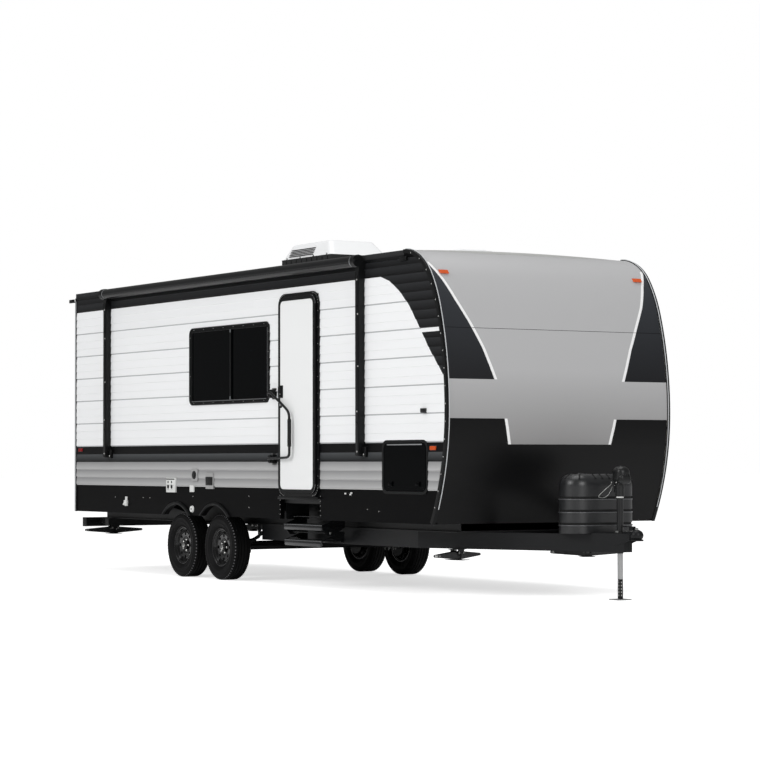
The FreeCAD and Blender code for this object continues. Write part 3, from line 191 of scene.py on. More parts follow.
def paint(code):
    """A paint colour from its code as seen on a screen."""
    parts = [int(code[i:i + 2], 16) / 255 for i in (0, 2, 4)]
    return tuple(c / 12.92 if c <= 0.04045 else ((c + 0.055) / 1.055) ** 2.4 for c in parts) + (1.0,)


def finish(name, code, rough, metal=0.0, coat=0.0, mottle=0.06, blotch=2.5, grain=600.0, bump=0.06,
           stretch=(1, 1, 1), uneven=0.15, sheen=0.5):
    """A painted, plated or moulded surface: slight mottling, uneven gloss and a fine grain."""
    made = bpy.data.materials.new(name)
    made.use_nodes = True
    tree = made.node_tree
    shader = tree.nodes["Principled BSDF"]
    preset(shader, {"Metallic": metal, "Specular IOR Level": sheen, "Coat Weight": coat,
                    "Coat Roughness": coat_rough})
    colour = paint(code)[:3]
    where = node(tree, "TexCoord")
    lay = node(tree, "Mapping", {"Scale": stretch})
    cloud = node(tree, "TexNoise", {"Scale": blotch, "Detail": cloud_detail})
    tone = node(tree, "Mix", {"A": tuple(c * (1 - mottle) for c in colour) + (1,),
                              "B": tuple(min(c * (1 + mottle), 1) for c in colour) + (1,)}, data_type="RGBA")
    gloss = node(tree, "MapRange", {"To Min": rough * (1 - uneven), "To Max": min(rough * (1 + uneven), 1)})
    speck = node(tree, "TexNoise", {"Scale": grain})
    relief = node(tree, "Bump", {"Strength": bump, "Distance": relief_depth})
    wire(tree, (where, "Object", lay, "Vector"), (lay, "Vector", cloud, "Vector"),
         (lay, "Vector", speck, "Vector"), (cloud, "Fac", tone, "Factor"), (cloud, "Fac", gloss, "Value"),
         (speck, "Fac", relief, "Height"), (tone, "Result", shader, "Base Color"),
         (gloss, "Result", shader, "Roughness"), (relief, "Normal", shader, "Normal"))
    return made


def hang(name, form, finishes, body="trailer", stands_for=(), crease=32.0):
    """Turns a bmesh into a named piece that rides on a body."""
    bmesh.ops.recalc_face_normals(form, faces=form.faces)
    mesh = bpy.data.meshes.new(name)
    form.to_mesh(mesh)
    form.free()
    for one in finishes:
        mesh.materials.append(one)
    mesh.shade_smooth()
    mesh.set_sharp_from_angle(angle=math.radians(crease))
    piece = bpy.data.objects.new(name, mesh)
    bpy.context.collection.objects.link(piece)
    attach(piece, body)
    if stands_for:
        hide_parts(*stands_for)
    return piece


def whole(form):
    """Everything in a bmesh, as the cutting operator takes it."""
    return list(form.verts) + list(form.edges) + list(form.faces)


def cut_at(form, place, facing):
    """Splits the faces along a plane and keeps both sides."""
    bmesh.ops.bisect_plane(form, geom=whole(form), dist=1e-6, plane_co=place, plane_no=facing)


def trim_at(form, place, facing):
    """Cuts off what lies beyond a plane."""
    bmesh.ops.bisect_plane(form, geom=whole(form), dist=1e-6, plane_co=place, plane_no=facing,
                           clear_outer=True)


def nose_line(inset):
    """Points (x, z) of the nose from its low end to its top, moved inward by an inset."""
    radius = nose_down[0] - inset
    centre_x = nose_belly.x - nose_down[0]
    turns = [math.radians(-nose_down[1] * (1 - i / nose_steps)) for i in range(nose_steps + 1)]
    points = [(centre_x + radius * math.cos(t), nose_belly.z + radius * math.sin(t)) for t in turns]
    x, z, angle = nose_belly.x, nose_belly.z, 0.0
    for full, turn in nose_up:
        x -= full * math.cos(math.radians(angle))
        z -= full * math.sin(math.radians(angle))
        turns = [math.radians(angle + turn * (i + 1) / nose_steps) for i in range(nose_steps)]
        points += [(x + (full - inset) * math.cos(t), z + (full - inset) * math.sin(t)) for t in turns]
        angle += turn
        x += full * math.cos(math.radians(angle))
        z += full * math.sin(math.radians(angle))
    return points


def rib_section(low, high, ribs, between=1.0):
    """Heights and stand-off of a band of laps: each butt stands out at its foot and leans in to its top.

    The laps inside a plank stand out by a smaller share where the share is given.
    """
    pitch = (high - low) / ribs
    rows = []
    for i in range(ribs):
        z = low + i * pitch
        opens = i % ribs_in_plank == 0
        share = 1.0 if opens else between
        foot = rib_height - (rib_height - rib_foot) * share
        gap = plank_groove if opens else plank_groove * between / 2
        rows += [(z, foot), (z + gap, foot), (z + gap + rib_butt * share, rib_height),
                 (z + pitch * 0.5, rib_height - (rib_height - foot) * 0.3)]
    return rows


def drawn_sheet(points, along):
    """A bmesh sheet: a line of points drawn out along a vector."""
    form = bmesh.new()
    line = [form.verts.new(point) for point in points]
    for pair in zip(line, line[1:]):
        form.edges.new(pair)
    run = bmesh.ops.extrude_edge_only(form, edges=list(form.edges))
    bmesh.ops.translate(form, vec=along, verts=[v for v in run["geom"] if isinstance(v, bmesh.types.BMVert)])
    return form


def open_up(form, low, high, axis=0):
    """Cuts a rectangular hole between two corners (along, height)."""
    along = Vector((1, 0, 0)) if axis == 0 else Vector((0, 1, 0))
    up = Vector((0, 0, 1))
    for corner in (low, high):
        cut_at(form, along * corner[0] + up * corner[1], along)
        cut_at(form, along * corner[0] + up * corner[1], up)
    inside = []
    for face in form.faces:
        middle = face.calc_center_median()
        if low[0] < middle[axis] < high[0] and low[1] < middle.z < high[1]:
            inside.append(face)
    bmesh.ops.delete(form, geom=inside, context="FACES")


side_sections = (rib_section(skirt_top, grey_top, 3) + rib_section(grey_top, black_top, 2)
                 + rib_section(black_top, white_top, planks * ribs_in_plank, lap_share)
                 + rib_section(white_top, siding_top, 2) + [(siding_top, rib_foot)])
swoosh = ((6.30, 2.905), (6.504, 2.873), (6.675, 2.821), (6.843, 2.721), (7.01, 2.578), (7.174, 2.383),
          (7.336, 2.182), (7.543, 1.965), (7.70, 1.80))
swoosh_stripe = (2.336, 2.372, 7.19)
frame_hold = 0.025
door_opening = ((4.664, 0.861), (5.436, 2.810))
bag_opening = ((6.545, 0.904), (7.307, 1.388))
right_windows = (((2.785, 1.774), (4.474, 2.567)),)
left_windows = (((0.620, 1.990), (1.140, 2.567)), ((2.560, 1.774), (3.760, 2.567)),
                ((5.700, 1.874), (6.600, 2.567)))


def lapped(name, foot_code, head_code, start, pitch, rough):
    """A paint of painted light and shade across each lap, running from one tone at its foot to another at its
    head.
    """
    made = finish(name, head_code, rough, mottle=0.04, blotch=1.2, stretch=(0.4, 1, 3), sheen=0.15)
    tree = made.node_tree
    where = node(tree, "TexCoord")
    parts = node(tree, "SeparateXYZ")
    rise = node(tree, "Math", {1: start}, operation="SUBTRACT")
    laps = node(tree, "Math", {1: pitch}, operation="DIVIDE")
    share = node(tree, "Math", operation="FRACT")
    tone = node(tree, "Mix", {"A": paint(foot_code), "B": paint(head_code)}, data_type="RGBA")
    wire(tree, (where, "Object", parts, "Vector"), (parts, "Z", rise, 0), (rise, 0, laps, 0),
         (laps, 0, share, 0), (share, 0, tone, "Factor"),
         (tone, "Result", tree.nodes["Principled BSDF"], "Base Color"))
    return made


grey_pitch = (grey_top - skirt_top) / ribs_in_plank
white_pitch = (white_top - black_top) / planks / ribs_in_plank
# The narrow gaps between planks are painted grey as the shade in their grooves.
plank_gap_shade = finish("plank_gap_shade", "ABADAF", 0.6)
siding_white = finish("siding_white", "F1F2F3", 0.42, mottle=0.02, blotch=1.2, stretch=(0.4, 1, 3))
# Painted light and shade: the grey belt, the black field and the charcoal lap each run from one tone at the
# foot of a lap to another at its head, as light falls across the curved laps.
siding_grey = lapped("siding_grey", "B5B5B5", "8A8A8B", skirt_top, grey_pitch, 0.45)
siding_black = lapped("siding_black", "0B0B0C", "2A2B2D", black_top, white_pitch, 0.4)
belt_charcoal = lapped("belt_charcoal", "0F1011", "494B4D", skirt_top, grey_pitch, 0.4)
belt_black = finish("belt_black", "0B0B0C", 0.4, mottle=0.1, sheen=0.1)


def beyond_swoosh(x, z):
    """True in the dark field ahead of the curved line on the side."""
    for (x0, z0), (x1, z1) in zip(swoosh, swoosh[1:]):
        if at(x0) <= x <= at(x1):
            return z > z0 + (z1 - z0) * (x - at(x0)) / (x1 - x0)
    return x > at(swoosh[-1][0])


def in_plank_gap(z):
    """True in the narrow gap between two planks of the white field."""
    pitch = (white_top - black_top) / planks
    return black_top < z < white_top and (z - black_top) % pitch < plank_groove


def side_siding(name, side, holes):
    """The ribbed sheet of one side, cut to the nose and round its openings, in its painted fields."""
    form = drawn_sheet([(at(siding_rear_end), side * (wall_y + off), z) for z, off in side_sections],
                       (siding_run, 0, 0))
    outline = nose_line(nose_margin)
    for (x0, z0), (x1, z1) in zip(outline, outline[1:]):
        trim_at(form, Vector((x0, 0, z0)), Vector((z1 - z0, 0, x0 - x1)))
    for low, high in holes:
        open_up(form, (at(low[0]) + frame_hold, low[1] + frame_hold),
                (at(high[0]) - frame_hold, high[1] - frame_hold))
    for (x0, z0), (x1, z1) in zip(swoosh, swoosh[1:]):
        cut_at(form, Vector((at(x0), 0, z0)), Vector((z1 - z0, 0, x0 - x1)))
    for z in swoosh_stripe[:2]:
        cut_at(form, Vector((0, 0, z)), Vector((0, 0, 1)))
    for face in form.faces:
        middle = face.calc_center_median()
        face.material_index = 2
        if middle.z < grey_top:
            face.material_index = 1
        elif middle.z < black_top:
            face.material_index = 4 if middle.z < (grey_top + black_top) / 2 else 5
        elif black_top < middle.z < white_top and not beyond_swoosh(middle.x, middle.z):
            face.material_index = 3 if in_plank_gap(middle.z) else 0
        elif swoosh_stripe[0] < middle.z < swoosh_stripe[1] and middle.x > at(swoosh_stripe[2]):
            face.material_index = 0
    bmesh.ops.solidify(form, geom=list(form.faces), thickness=sheet_t)
    return hang(name, form, (siding_white, siding_grey, siding_black, plank_gap_shade, belt_charcoal, belt_black),
                crease=20)


side_siding("siding_right", -1, (door_opening, bag_opening) + right_windows)
side_siding("siding_left", 1, (bag_opening,) + left_windows)

# Rear wall siding: the same ribbed sheet across the back, between the corner mouldings.
rear_half = 1.193
rear_window = ((-0.38, 1.820), (0.38, 2.380))
rear_form = drawn_sheet([(body_rear_x - off, -rear_half, z) for z, off in side_sections],
                        (0, 2 * rear_half, 0))
open_up(rear_form, (rear_window[0][0] + frame_hold, rear_window[0][1] + frame_hold),
        (rear_window[1][0] - frame_hold, rear_window[1][1] - frame_hold), axis=1)
for face in rear_form.faces:
    height = face.calc_center_median().z
    face.material_index = 1 if height < grey_top else 0 if black_top < height < white_top else 2
    if in_plank_gap(height):
        face.material_index = 3
bmesh.ops.solidify(rear_form, geom=list(rear_form.faces), thickness=sheet_t)
hang("siding_rear", rear_form, (siding_white, siding_grey, siding_black, plank_gap_shade),
     crease=20)

# Front cap skin: one smooth moulded panel bonded over the nose, its graphics laid in four tones.
# A pale centre fades darker downward between two white lines, with dark wedges outside and black below.
cap_half = 1.193
cap_off = 0.0022
cap_line_half = 0.015
wedge_line = ((1.187, 2.959), (1.104, 2.803), (1.021, 2.614), (0.916, 2.42), (0.808, 2.201), (0.70, 1.917))
wedge_low = 1.917
belt_low = 1.573
centre_low = 1.346
centre_edge = ((0.60, 1.573), (0.55, 1.346))
cap_seam = 2.37
seam_half = 0.002
cap_foot = 0.66
cap_head = 3.08


def line_at(points, z):
    """Half-width at a height along a line of (half-width, height) points."""
    for (y0, z0), (y1, z1) in zip(points, points[1:]):
        if z1 <= z <= z0:
            return y1 + (y0 - y1) * (z - z1) / (z0 - z1)
    return points[0][0] if z > points[0][1] else points[-1][0]


def cap_tone(y, z):
    """Index of the tone at a place on the cap: 0 pale centre, 1 white line, 2 wedge, 3 black."""
    out = abs(y)
    if z <= centre_low or abs(z - cap_seam) < seam_half:
        return 3
    if belt_low < z < wedge_low or z > wedge_line[0][1]:
        return 0
    edge = line_at(wedge_line if z > wedge_low else centre_edge, z)
    if abs(out - edge) < cap_line_half:
        return 1
    if out < edge:
        return 0
    return 2 if z > wedge_low else 3


def cut_cap_lines(form, points):
    """Cuts the cap along both edges of a white line, on both sides."""
    for (y0, z0), (y1, z1) in zip(points, points[1:]):
        for side in (-1, 1):
            facing = Vector((0, z0 - z1, side * (y1 - y0))).normalized()
            for shift in (-cap_line_half, cap_line_half):
                cut_at(form, Vector((0, side * y0, z0)) + Vector((0, shift, 0)), facing)


def graded(name, low_code, high_code, low_z, high_z, rough, coat):
    """A paint that fades from one tone to another with height."""
    made = finish(name, high_code, rough, coat=coat, mottle=0.015, bump=0.0, uneven=0.02)
    tree = made.node_tree
    where = node(tree, "TexCoord")
    parts = node(tree, "SeparateXYZ")
    fade = node(tree, "MapRange", {"From Min": low_z, "From Max": high_z})
    tone = node(tree, "Mix", {"A": paint(low_code), "B": paint(high_code)}, data_type="RGBA")
    wire(tree, (where, "Object", parts, "Vector"), (parts, "Z", fade, "Value"),
         (fade, "Result", tone, "Factor"), (tone, "Result", tree.nodes["Principled BSDF"], "Base Color"))
    return made


cap_centre = graded("cap_centre", "908F8F", "B4B4B5", 1.35, 2.0, 0.34, 0.0)
cap_white = finish("cap_white", "F2F2F2", 0.3, coat=0.3, mottle=0.02, uneven=0.02)
cap_wedge = graded("cap_wedge", "111216", "35383D", 1.9, 2.95, 0.32, 0.0)
cap_black = finish("cap_black", "0B0B0C", 0.34, mottle=0.1, uneven=0.02, sheen=0.18)
cap_skin = drawn_sheet([(x, -cap_half, z) for x, z in nose_line(-cap_off)], (0, 2 * cap_half, 0))
trim_at(cap_skin, (0, 0, cap_foot), (0, 0, -1))
trim_at(cap_skin, (0, 0, cap_head), (0, 0, 1))
cut_cap_lines(cap_skin, wedge_line)
cut_cap_lines(cap_skin, centre_edge)
for height in (wedge_low, belt_low, centre_low, cap_seam - seam_half, cap_seam + seam_half, wedge_line[0][1]):
    cut_at(cap_skin, Vector((0, 0, height)), Vector((0, 0, 1)))
for face in cap_skin.faces:
    middle = face.calc_center_median()
    face.material_index = cap_tone(middle.y, middle.z)
bmesh.ops.solidify(cap_skin, geom=list(cap_skin.faces), thickness=sheet_t)
hang("cap_skin", cap_skin, (cap_centre, cap_white, cap_wedge, cap_black), crease=40)

# Walls behind the siding: laminated boards, black where the skirt shows and pale vinyl inside the cabin.
# They are the frame's own solids, so one finish tells the outer face from the inner one by its place.
wall_skin = 0.012


def two_sided(name, outer_code, inner_code, axis, limit, rough, beyond=True, mirrored=True, below=-1.0,
              **more):
    """A finish that changes colour where a coordinate passes a limit, or below a height.

    The coordinate counts from the middle outwards where the finish is mirrored.
    """
    made = finish(name, inner_code, rough, **more)
    tree = made.node_tree
    base = tree.nodes["Principled BSDF"].inputs["Base Color"]
    inner = base.links[0].from_socket
    where = node(tree, "TexCoord")
    parts = node(tree, "SeparateXYZ")
    reach = parts.outputs[axis]
    if mirrored:
        size = node(tree, "Math", operation="ABSOLUTE")
        tree.links.new(reach, size.inputs[0])
        reach = size.outputs[0]
    past = node(tree, "Math", {1: limit}, operation="GREATER_THAN" if beyond else "LESS_THAN")
    under = node(tree, "Math", {1: below}, operation="LESS_THAN")
    either = node(tree, "Math", operation="MAXIMUM")
    both = node(tree, "Mix", {"B": paint(outer_code)}, data_type="RGBA")
    tree.links.new(reach, past.inputs[0])
    tree.links.new(inner, both.inputs["A"])
    wire(tree, (where, "Object", parts, "Vector"), (parts, "Z", under, 0), (past, 0, either, 0),
         (under, 0, either, 1), (either, 0, both, "Factor"),
         (both, "Result", tree.nodes["Principled BSDF"], "Base Color"))
    return made


def dress(finish_made, *names):
    """Gives the frame's own nodes a finish."""
    for name in names:
        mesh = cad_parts[name].data
        mesh.materials.clear()
        mesh.materials.append(finish_made)


floor_top = 0.858
skirt_wall = two_sided("skirt_wall", "080809", "D9D4CA", "Y", wall_y - wall_skin, 0.42,
                       below=floor_top, sheen=0.04)
skirt_rear = two_sided("skirt_rear", "080809", "D9D4CA", "X", -body_rear_x - wall_skin, 0.42, below=floor_top,
                       sheen=0.04)
cap_shell = finish("cap_shell", "0B0B0C", 0.34, mottle=0.1, sheen=0.18)
dress(skirt_wall, "side_wall_right", "side_wall_left")
dress(skirt_rear, "rear_wall")
dress(cap_shell, "front_cap")

# Roof: a white rubber membrane glued over the decking and turned down under the black eave trims.
# Its outermost strip is painted dark as the shade beside the trims, so that no white line shows there.
roof_shade_y = 1.205
roof_white = two_sided("roof_white", "17181A", "DCDDDA", "Y", roof_shade_y, 0.75, blotch=1.0,
                       bump=0.2, grain=160.0)
dress(roof_white, "roof")

# Floor: printed vinyl planks above, and below it the black corrugated belly sheet on the chassis flanges.
# It is one solid of the frame, so its finish tells the two faces apart by their height.
floor_vinyl = two_sided("floor_vinyl", "121314", "8A7762", "Z", floor_top, 0.5, beyond=False,
                        stretch=(0.5, 9, 1))
dress(floor_vinyl, "floor")

# Corner mouldings and gutters: black anodised extrusions screwed through the wall edges over sealing tape.
# Each moulding has a leg on the side wall with a screw every hand's width, and a pale bead at its edge
# painted as a highlight.
moulding_leg = 0.030
moulding_t = 0.009
moulding_bead_r = 0.0045
screw_r = 0.0055
screw_t = 0.003
screw_pitch = 0.155
screw_dome = 0.6
screw_foot = 0.68
bead_out = 0.0110
bead_in = 0.016
rear_strip = (-0.0055, 0.0235)
rear_strip_t = 0.0022
rear_strip_foot = 0.648
rear_strip_head = 3.000
rear_screws = 15
trim_black = finish("trim_black", "0C0D0E", 0.34, mottle=0.12, sheen=0.2)
# A pale metal for bright lines painted as highlights on black frames and doors.
frame_highlight = finish("frame_highlight", "A9ABAD", 0.3, metal=0.8)
screw_zinc = finish("screw_zinc", "D8D8D6", 0.3, metal=0.9)
dress(trim_black, "corner_trims")


def slab(form, corner, far_corner, ease=0.0, steps=2):
    """A box between two opposite corners with its edges eased."""
    made = bmesh.ops.create_cube(form, size=1)["verts"]
    low = Vector([min(pair) for pair in zip(corner, far_corner)])
    high = Vector([max(pair) for pair in zip(corner, far_corner)])
    bmesh.ops.scale(form, vec=high - low, verts=made)
    bmesh.ops.translate(form, vec=(high + low) / 2, verts=made)
    if ease:
        edges = list({e for v in made for e in v.link_edges})
        bmesh.ops.bevel(form, geom=edges, offset=ease, offset_type="OFFSET", segments=steps, profile=0.5,
                        affect="EDGES", material=-1, clamp_overlap=True)


def post(form, start, end, radius, sides=20, far_radius=None):
    """A round bar between two points, tapered where the far radius differs."""
    start, end = Vector(start), Vector(end)
    run = end - start
    turn = run.to_track_quat("Z", "Y").to_matrix().to_4x4()
    bmesh.ops.create_cone(form, cap_ends=True, segments=sides, radius1=radius,
                          radius2=radius if far_radius is None else far_radius, depth=run.length,
                          matrix=Matrix.Translation((start + end) / 2) @ turn)


def screw(form, spot, side):
    """A small domed screw head that stands out from a side wall."""
    post(form, spot, spot + Vector((0, side * screw_t, 0)), screw_r, 8, screw_r * screw_dome)


def bent_bar(name, points, radius, finishes, body="trailer", closed=False, smooth=False):
    """A round bar or wire that runs through points."""
    curve = bpy.data.curves.new(name, "CURVE")
    curve.dimensions = "3D"
    curve.bevel_depth = radius
    curve.bevel_resolution = 3
    curve.use_fill_caps = True
    line = curve.splines.new("NURBS" if smooth else "POLY")
    line.points.add(len(points) - 1)
    for point, place in zip(line.points, points):
        point.co = (*place, 1)
    line.use_cyclic_u = closed
    if smooth:
        line.order_u = 3
        line.use_endpoint_u = True
    holder = bpy.data.objects.new(name, curve)
    bpy.context.collection.objects.link(holder)
    mesh = bpy.data.meshes.new_from_object(holder)
    bpy.data.objects.remove(holder)
    form = bmesh.new()
    form.from_mesh(mesh)
    bpy.data.meshes.remove(mesh)
    bmesh.ops.remove_doubles(form, verts=list(form.verts), dist=1e-5)
    return hang(name, form, finishes, body=body, crease=50)


heads = bmesh.new()
corner_strips = bmesh.new()
# The pale bead along the nose edge and the pale strip up the rear corner are painted highlights on the black
# mouldings.
corner_strip_highlight = finish("corner_strip_highlight", "8F9193", 0.4)
nose_bead_highlight = finish("nose_bead_highlight", "BDBFC1", 0.35)
for side, name in sides:
    face_y = side * (wall_y + moulding_t)
    bead = [(x, side * (wall_y - bead_in), z) for x, z in nose_line(-bead_out) if z > cap_foot]
    bent_bar("nose_bead_" + name, bead, moulding_bead_r, (nose_bead_highlight,))
    slab(corner_strips, (at(rear_strip[0]), face_y, rear_strip_foot),
         (at(rear_strip[1]), face_y + side * rear_strip_t, rear_strip_head), 0.0008)
    walked = 0.0
    middle = nose_line(moulding_leg / 2)
    for (x0, z0), (x1, z1) in zip(middle, middle[1:]):
        length = math.hypot(x1 - x0, z1 - z0)
        while walked < length:
            share = walked / length
            spot = Vector((x0 + (x1 - x0) * share, face_y, z0 + (z1 - z0) * share))
            if spot.z > screw_foot:
                screw(heads, spot, side)
            walked += screw_pitch
        walked -= length
    for step in range(rear_screws):
        screw(heads, Vector((at(moulding_leg / 2), face_y, 0.72 + step * screw_pitch)), side)
hang("moulding_screws", heads, (screw_zinc,))
hang("rear_corner_strips", corner_strips, (corner_strip_highlight,))

# Gutter spouts: short black plastic lips pushed on the ends of the gutter rails to throw water clear.
# Each has a flat tongue that carries the rail past the wall, and a lip along its outer edge.
spout_foot = 2.988
spout_lip = 3.026
spout_t = 0.012
spouts = bmesh.new()
for side in (-1, 1):
    for start, end in ((at(0.0), at(-0.138)), (at(6.86), at(6.98))):
        y = side * (wall_y + 0.013)
        slab(spouts, (start, y - 0.0105, spout_foot), (end, y + 0.0105, spout_foot + spout_t), 0.004)
        y = side * (wall_y + 0.0205)
        slab(spouts, (start, y - 0.003, spout_foot), (end, y + 0.003, spout_lip), 0.002)
hang("gutter_spouts", spouts, (trim_black,))

# Skirt screws: a few small pale screws hold the skirt's black sheet to the outriggers behind it.
# They are plated, with low domed heads, and stand alike on both sides.
skirt_screws = ((1.02, 0.815), (1.70, 0.815), (1.86, 0.815), (2.845, 0.840), (4.04, 0.855), (4.04, 0.745),
                (6.28, 0.760), (6.48, 0.745))
skirt_heads = bmesh.new()
for side in (-1, 1):
    for station, z in skirt_screws:
        screw(skirt_heads, Vector((at(station), side * wall_y, z)), side)
hang("skirt_screws", skirt_heads, (screw_zinc,))

# Entry door: a smooth white laminated leaf in a black aluminium edge, wider on the hinge side.
# Its frame is a black extrusion screwed to the wall, with a black sill plate below.
door_low = (at(4.700), 0.897)
door_high = (at(5.400), 2.774)
door_face = wall_y + 0.038
door_round = 0.085
door_edge = 0.034
door_edge_hinge = 0.040
door_edge_t = 0.003
door_liner_inset = 0.030
frame_screw_out = 0.024
frame_screws = 11
frame_screw_low = 1.06
frame_screw_pitch = 0.156
sill_span = (at(4.668), at(5.432))
corner_steps = 6
door_white = finish("door_white", "EDEEEE", 0.35, mottle=0.015, blotch=1.2)
door_black = finish("door_black", "0B0C0D", 0.4, mottle=0.12, sheen=0.18)
rubber_black = finish("rubber_black", "0F1011", 0.75, mottle=0.1)
sill_bright = finish("sill_bright", "B5B6B6", 0.35, metal=0.9, stretch=(1, 40, 40))
door_leaf = two_sided("door_leaf", "EDEEEE", "0B0C0D", "Y", door_face - 0.0015, 0.35,
                      mottle=0.015, blotch=1.2)
dress(door_leaf, "entry_door")
dress(door_black, "door_frames")


def round_loop(low, high, radius):
    """Points (along, height) of a rectangle with rounded corners, from its lower right corner round."""
    points = []
    corners = (((high[0] - radius, low[1] + radius), -90), ((high[0] - radius, high[1] - radius), 0),
               ((low[0] + radius, high[1] - radius), 90), ((low[0] + radius, low[1] + radius), 180))
    for (x, z), start in corners:
        for step in range(corner_steps + 1):
            turn = math.radians(start + 90 * step / corner_steps)
            points.append((x + radius * math.cos(turn), z + radius * math.sin(turn)))
    return points


def skin(form, rings, closed=False):
    """Faces between rings of as many points; the last joins the first if closed, or both ends are capped."""
    rows = [[form.verts.new(place) for place in ring] for ring in rings]
    for row, after in zip(rows, rows[1:] + rows[:1] if closed else rows[1:]):
        for i, vert in enumerate(row):
            j = (i + 1) % len(row)
            form.faces.new((vert, row[j], after[j], after[i]))
    if not closed:
        form.faces.new(rows[0][::-1])
        form.faces.new(rows[-1])


def flat_ring(form, outer, inner, face_y, depth):
    """A flat ring between two loops of as many points, standing from one Y to another."""
    corners = ((outer, face_y), (outer, face_y + depth), (inner, face_y + depth), (inner, face_y))
    skin(form, [[(x, y, z) for x, z in loop] for loop, y in corners], closed=True)


def shrunk(low, high, inset):
    """Two corners (along, height) moved inward by an inset."""
    return (low[0] + inset, low[1] + inset), (high[0] - inset, high[1] - inset)


door_trim = bmesh.new()
outer = round_loop(door_low, door_high, door_round)
inner = round_loop((door_low[0] + door_edge, door_low[1] + door_edge),
                   (door_high[0] - door_edge_hinge, door_high[1] - door_edge), door_round - door_edge)
flat_ring(door_trim, outer, inner, -door_face, -door_edge_t)
hang("door_edge", door_trim, (door_black,), body="entry_door")
liner = bmesh.new()
liner_low, liner_high = shrunk(door_low, door_high, door_liner_inset)
slab(liner, (liner_low[0], -wall_y - 0.0012, liner_low[1]),
     (liner_high[0], -wall_y + 0.0014, liner_high[1]), 0.001)
slab(liner, (door_low[0] + 0.055, -wall_y + 0.001, 1.800),
     (door_low[0] + 0.125, -wall_y + 0.008, 1.930), 0.003)
hang("door_liner", liner, (door_white,), body="entry_door")
paddle = bmesh.new()
slab(paddle, (door_low[0] + 0.068, -wall_y + 0.007, 1.825),
     (door_low[0] + 0.112, -wall_y + 0.013, 1.905), 0.003)
hang("door_inner_paddle", paddle, (door_black,), body="entry_door")
sill = bmesh.new()
slab(sill, (sill_span[0], -wall_y - 0.030, 0.856), (sill_span[1], -wall_y - 0.0225, 0.862), 0.001)
slab(sill, (sill_span[0], -wall_y - 0.030, 0.835), (sill_span[1], -wall_y - 0.0265, 0.858), 0.001)
hang("door_sill", sill, (door_black,))
frame_heads = bmesh.new()
frame_low, frame_high = shrunk(door_low, door_high, -frame_screw_out)
spots = round_loop(frame_low, frame_high, 0.1)
spots += [(x, frame_screw_low + step * frame_screw_pitch)
          for x in (frame_low[0], frame_high[0]) for step in range(frame_screws)]
for x, z in spots:
    post(frame_heads, (x, -wall_y - 0.022, z), (x, -wall_y - 0.024, z), 0.004, 8, 0.003)
hang("door_frame_screws", frame_heads, (screw_zinc,))

# Door latch, lock and hinges: a square black paddle in its dish, a round dead bolt and four hinge leaves.
# They are screwed and pinned to the door's outer face, and each lock has a small bright keyway.
latch_low = Vector((at(4.716), 0, 1.822))
latch_high = Vector((at(4.780), 0, 1.918))
lock_centre = Vector((at(4.748), 0, 1.742))
latch_face = door_face + 0.014
hinge_leaves = 4
hinge_leaf_low = 1.08
hinge_leaf_pitch = 0.50
latch = bmesh.new()
slab(latch, (latch_low.x - 0.010, -door_face - 0.005, latch_low.z - 0.012),
     (latch_high.x + 0.010, -door_face, latch_high.z + 0.012), 0.0015)
slab(latch, (latch_low.x - 0.0015, -latch_face - 0.0015, latch_low.z - 0.0015),
     (latch_high.x + 0.0015, -door_face, latch_high.z + 0.0015), 0.0012)
slab(latch, (latch_low.x + 0.006, -latch_face - 0.004, latch_low.z + 0.008),
     (latch_high.x - 0.008, -latch_face, latch_high.z - 0.030), 0.002)
slab(latch, (latch_low.x + 0.010, -latch_face - 0.003, latch_high.z - 0.024),
     (latch_high.x - 0.010, -latch_face, latch_high.z - 0.008), 0.0015)
post(latch, lock_centre - Vector((0, door_face, 0)),
     lock_centre - Vector((0, door_face + 0.004, 0)), 0.030, 32)
post(latch, lock_centre - Vector((0, door_face, 0)),
     lock_centre - Vector((0, door_face + 0.0105, 0)), 0.0215, 32)
post(latch, (door_high[0], -door_face, door_low[1] + 0.084), (door_high[0], -door_face, door_high[1] - 0.084),
     0.0072, 20)
for step in range(hinge_leaves):
    z = hinge_leaf_low + step * hinge_leaf_pitch
    slab(latch, (door_high[0] - 0.036, -door_face - 0.007, z - 0.035),
         (door_high[0] - 0.004, -door_face, z + 0.035), 0.002)
hang("door_latch", latch, (door_black,), body="entry_door")
keyway = bmesh.new()
post(keyway, lock_centre - Vector((0, door_face + 0.010, 0)), lock_centre - Vector((0, door_face + 0.013, 0)),
     0.011, 24, 0.009)
post(keyway, (latch_high.x - 0.018, -latch_face, latch_low.z + 0.024),
     (latch_high.x - 0.018, -latch_face - 0.0055, latch_low.z + 0.024), 0.007, 20, 0.006)
hang("door_keyways", keyway, (sill_bright,), body="entry_door")

# Assist rail: a black tube on two box brackets, with a foam grip on its upright stretch.
# It folds flat across the door and rides on the door when the door opens.
rail_y = -wall_y - 0.078
rail_x = at(4.560)
grip_x = rail_x + 0.420
grip_r = 0.0185
rail_r = 0.0125
grip_low, grip_high = 1.345, 1.595
grip_lip = 0.010
grip_taper = 0.72
bracket_heights = (1.854, 1.222)
rail_black = finish("rail_black", "0E0F10", 0.35, mottle=0.1, sheen=0.3)
foam_black = finish("foam_black", "151515", 0.95, grain=900.0, bump=0.5, blotch=12.0)
bends = ((grip_x - 0.050, 1.700), (grip_x - 0.010, 1.655), (grip_x, 1.620), (grip_x, 1.330), (grip_x, 1.262),
         (grip_x - 0.026, 1.240), (grip_x - 0.075, 1.232))
runs = [(rail_x, rail_y, 1.862), (rail_x + 0.045, rail_y, 1.868), (rail_x + 0.085, rail_y, 1.845)]
runs += [(x, rail_y, z) for x, z in bends] + [(rail_x, rail_y, 1.226)]
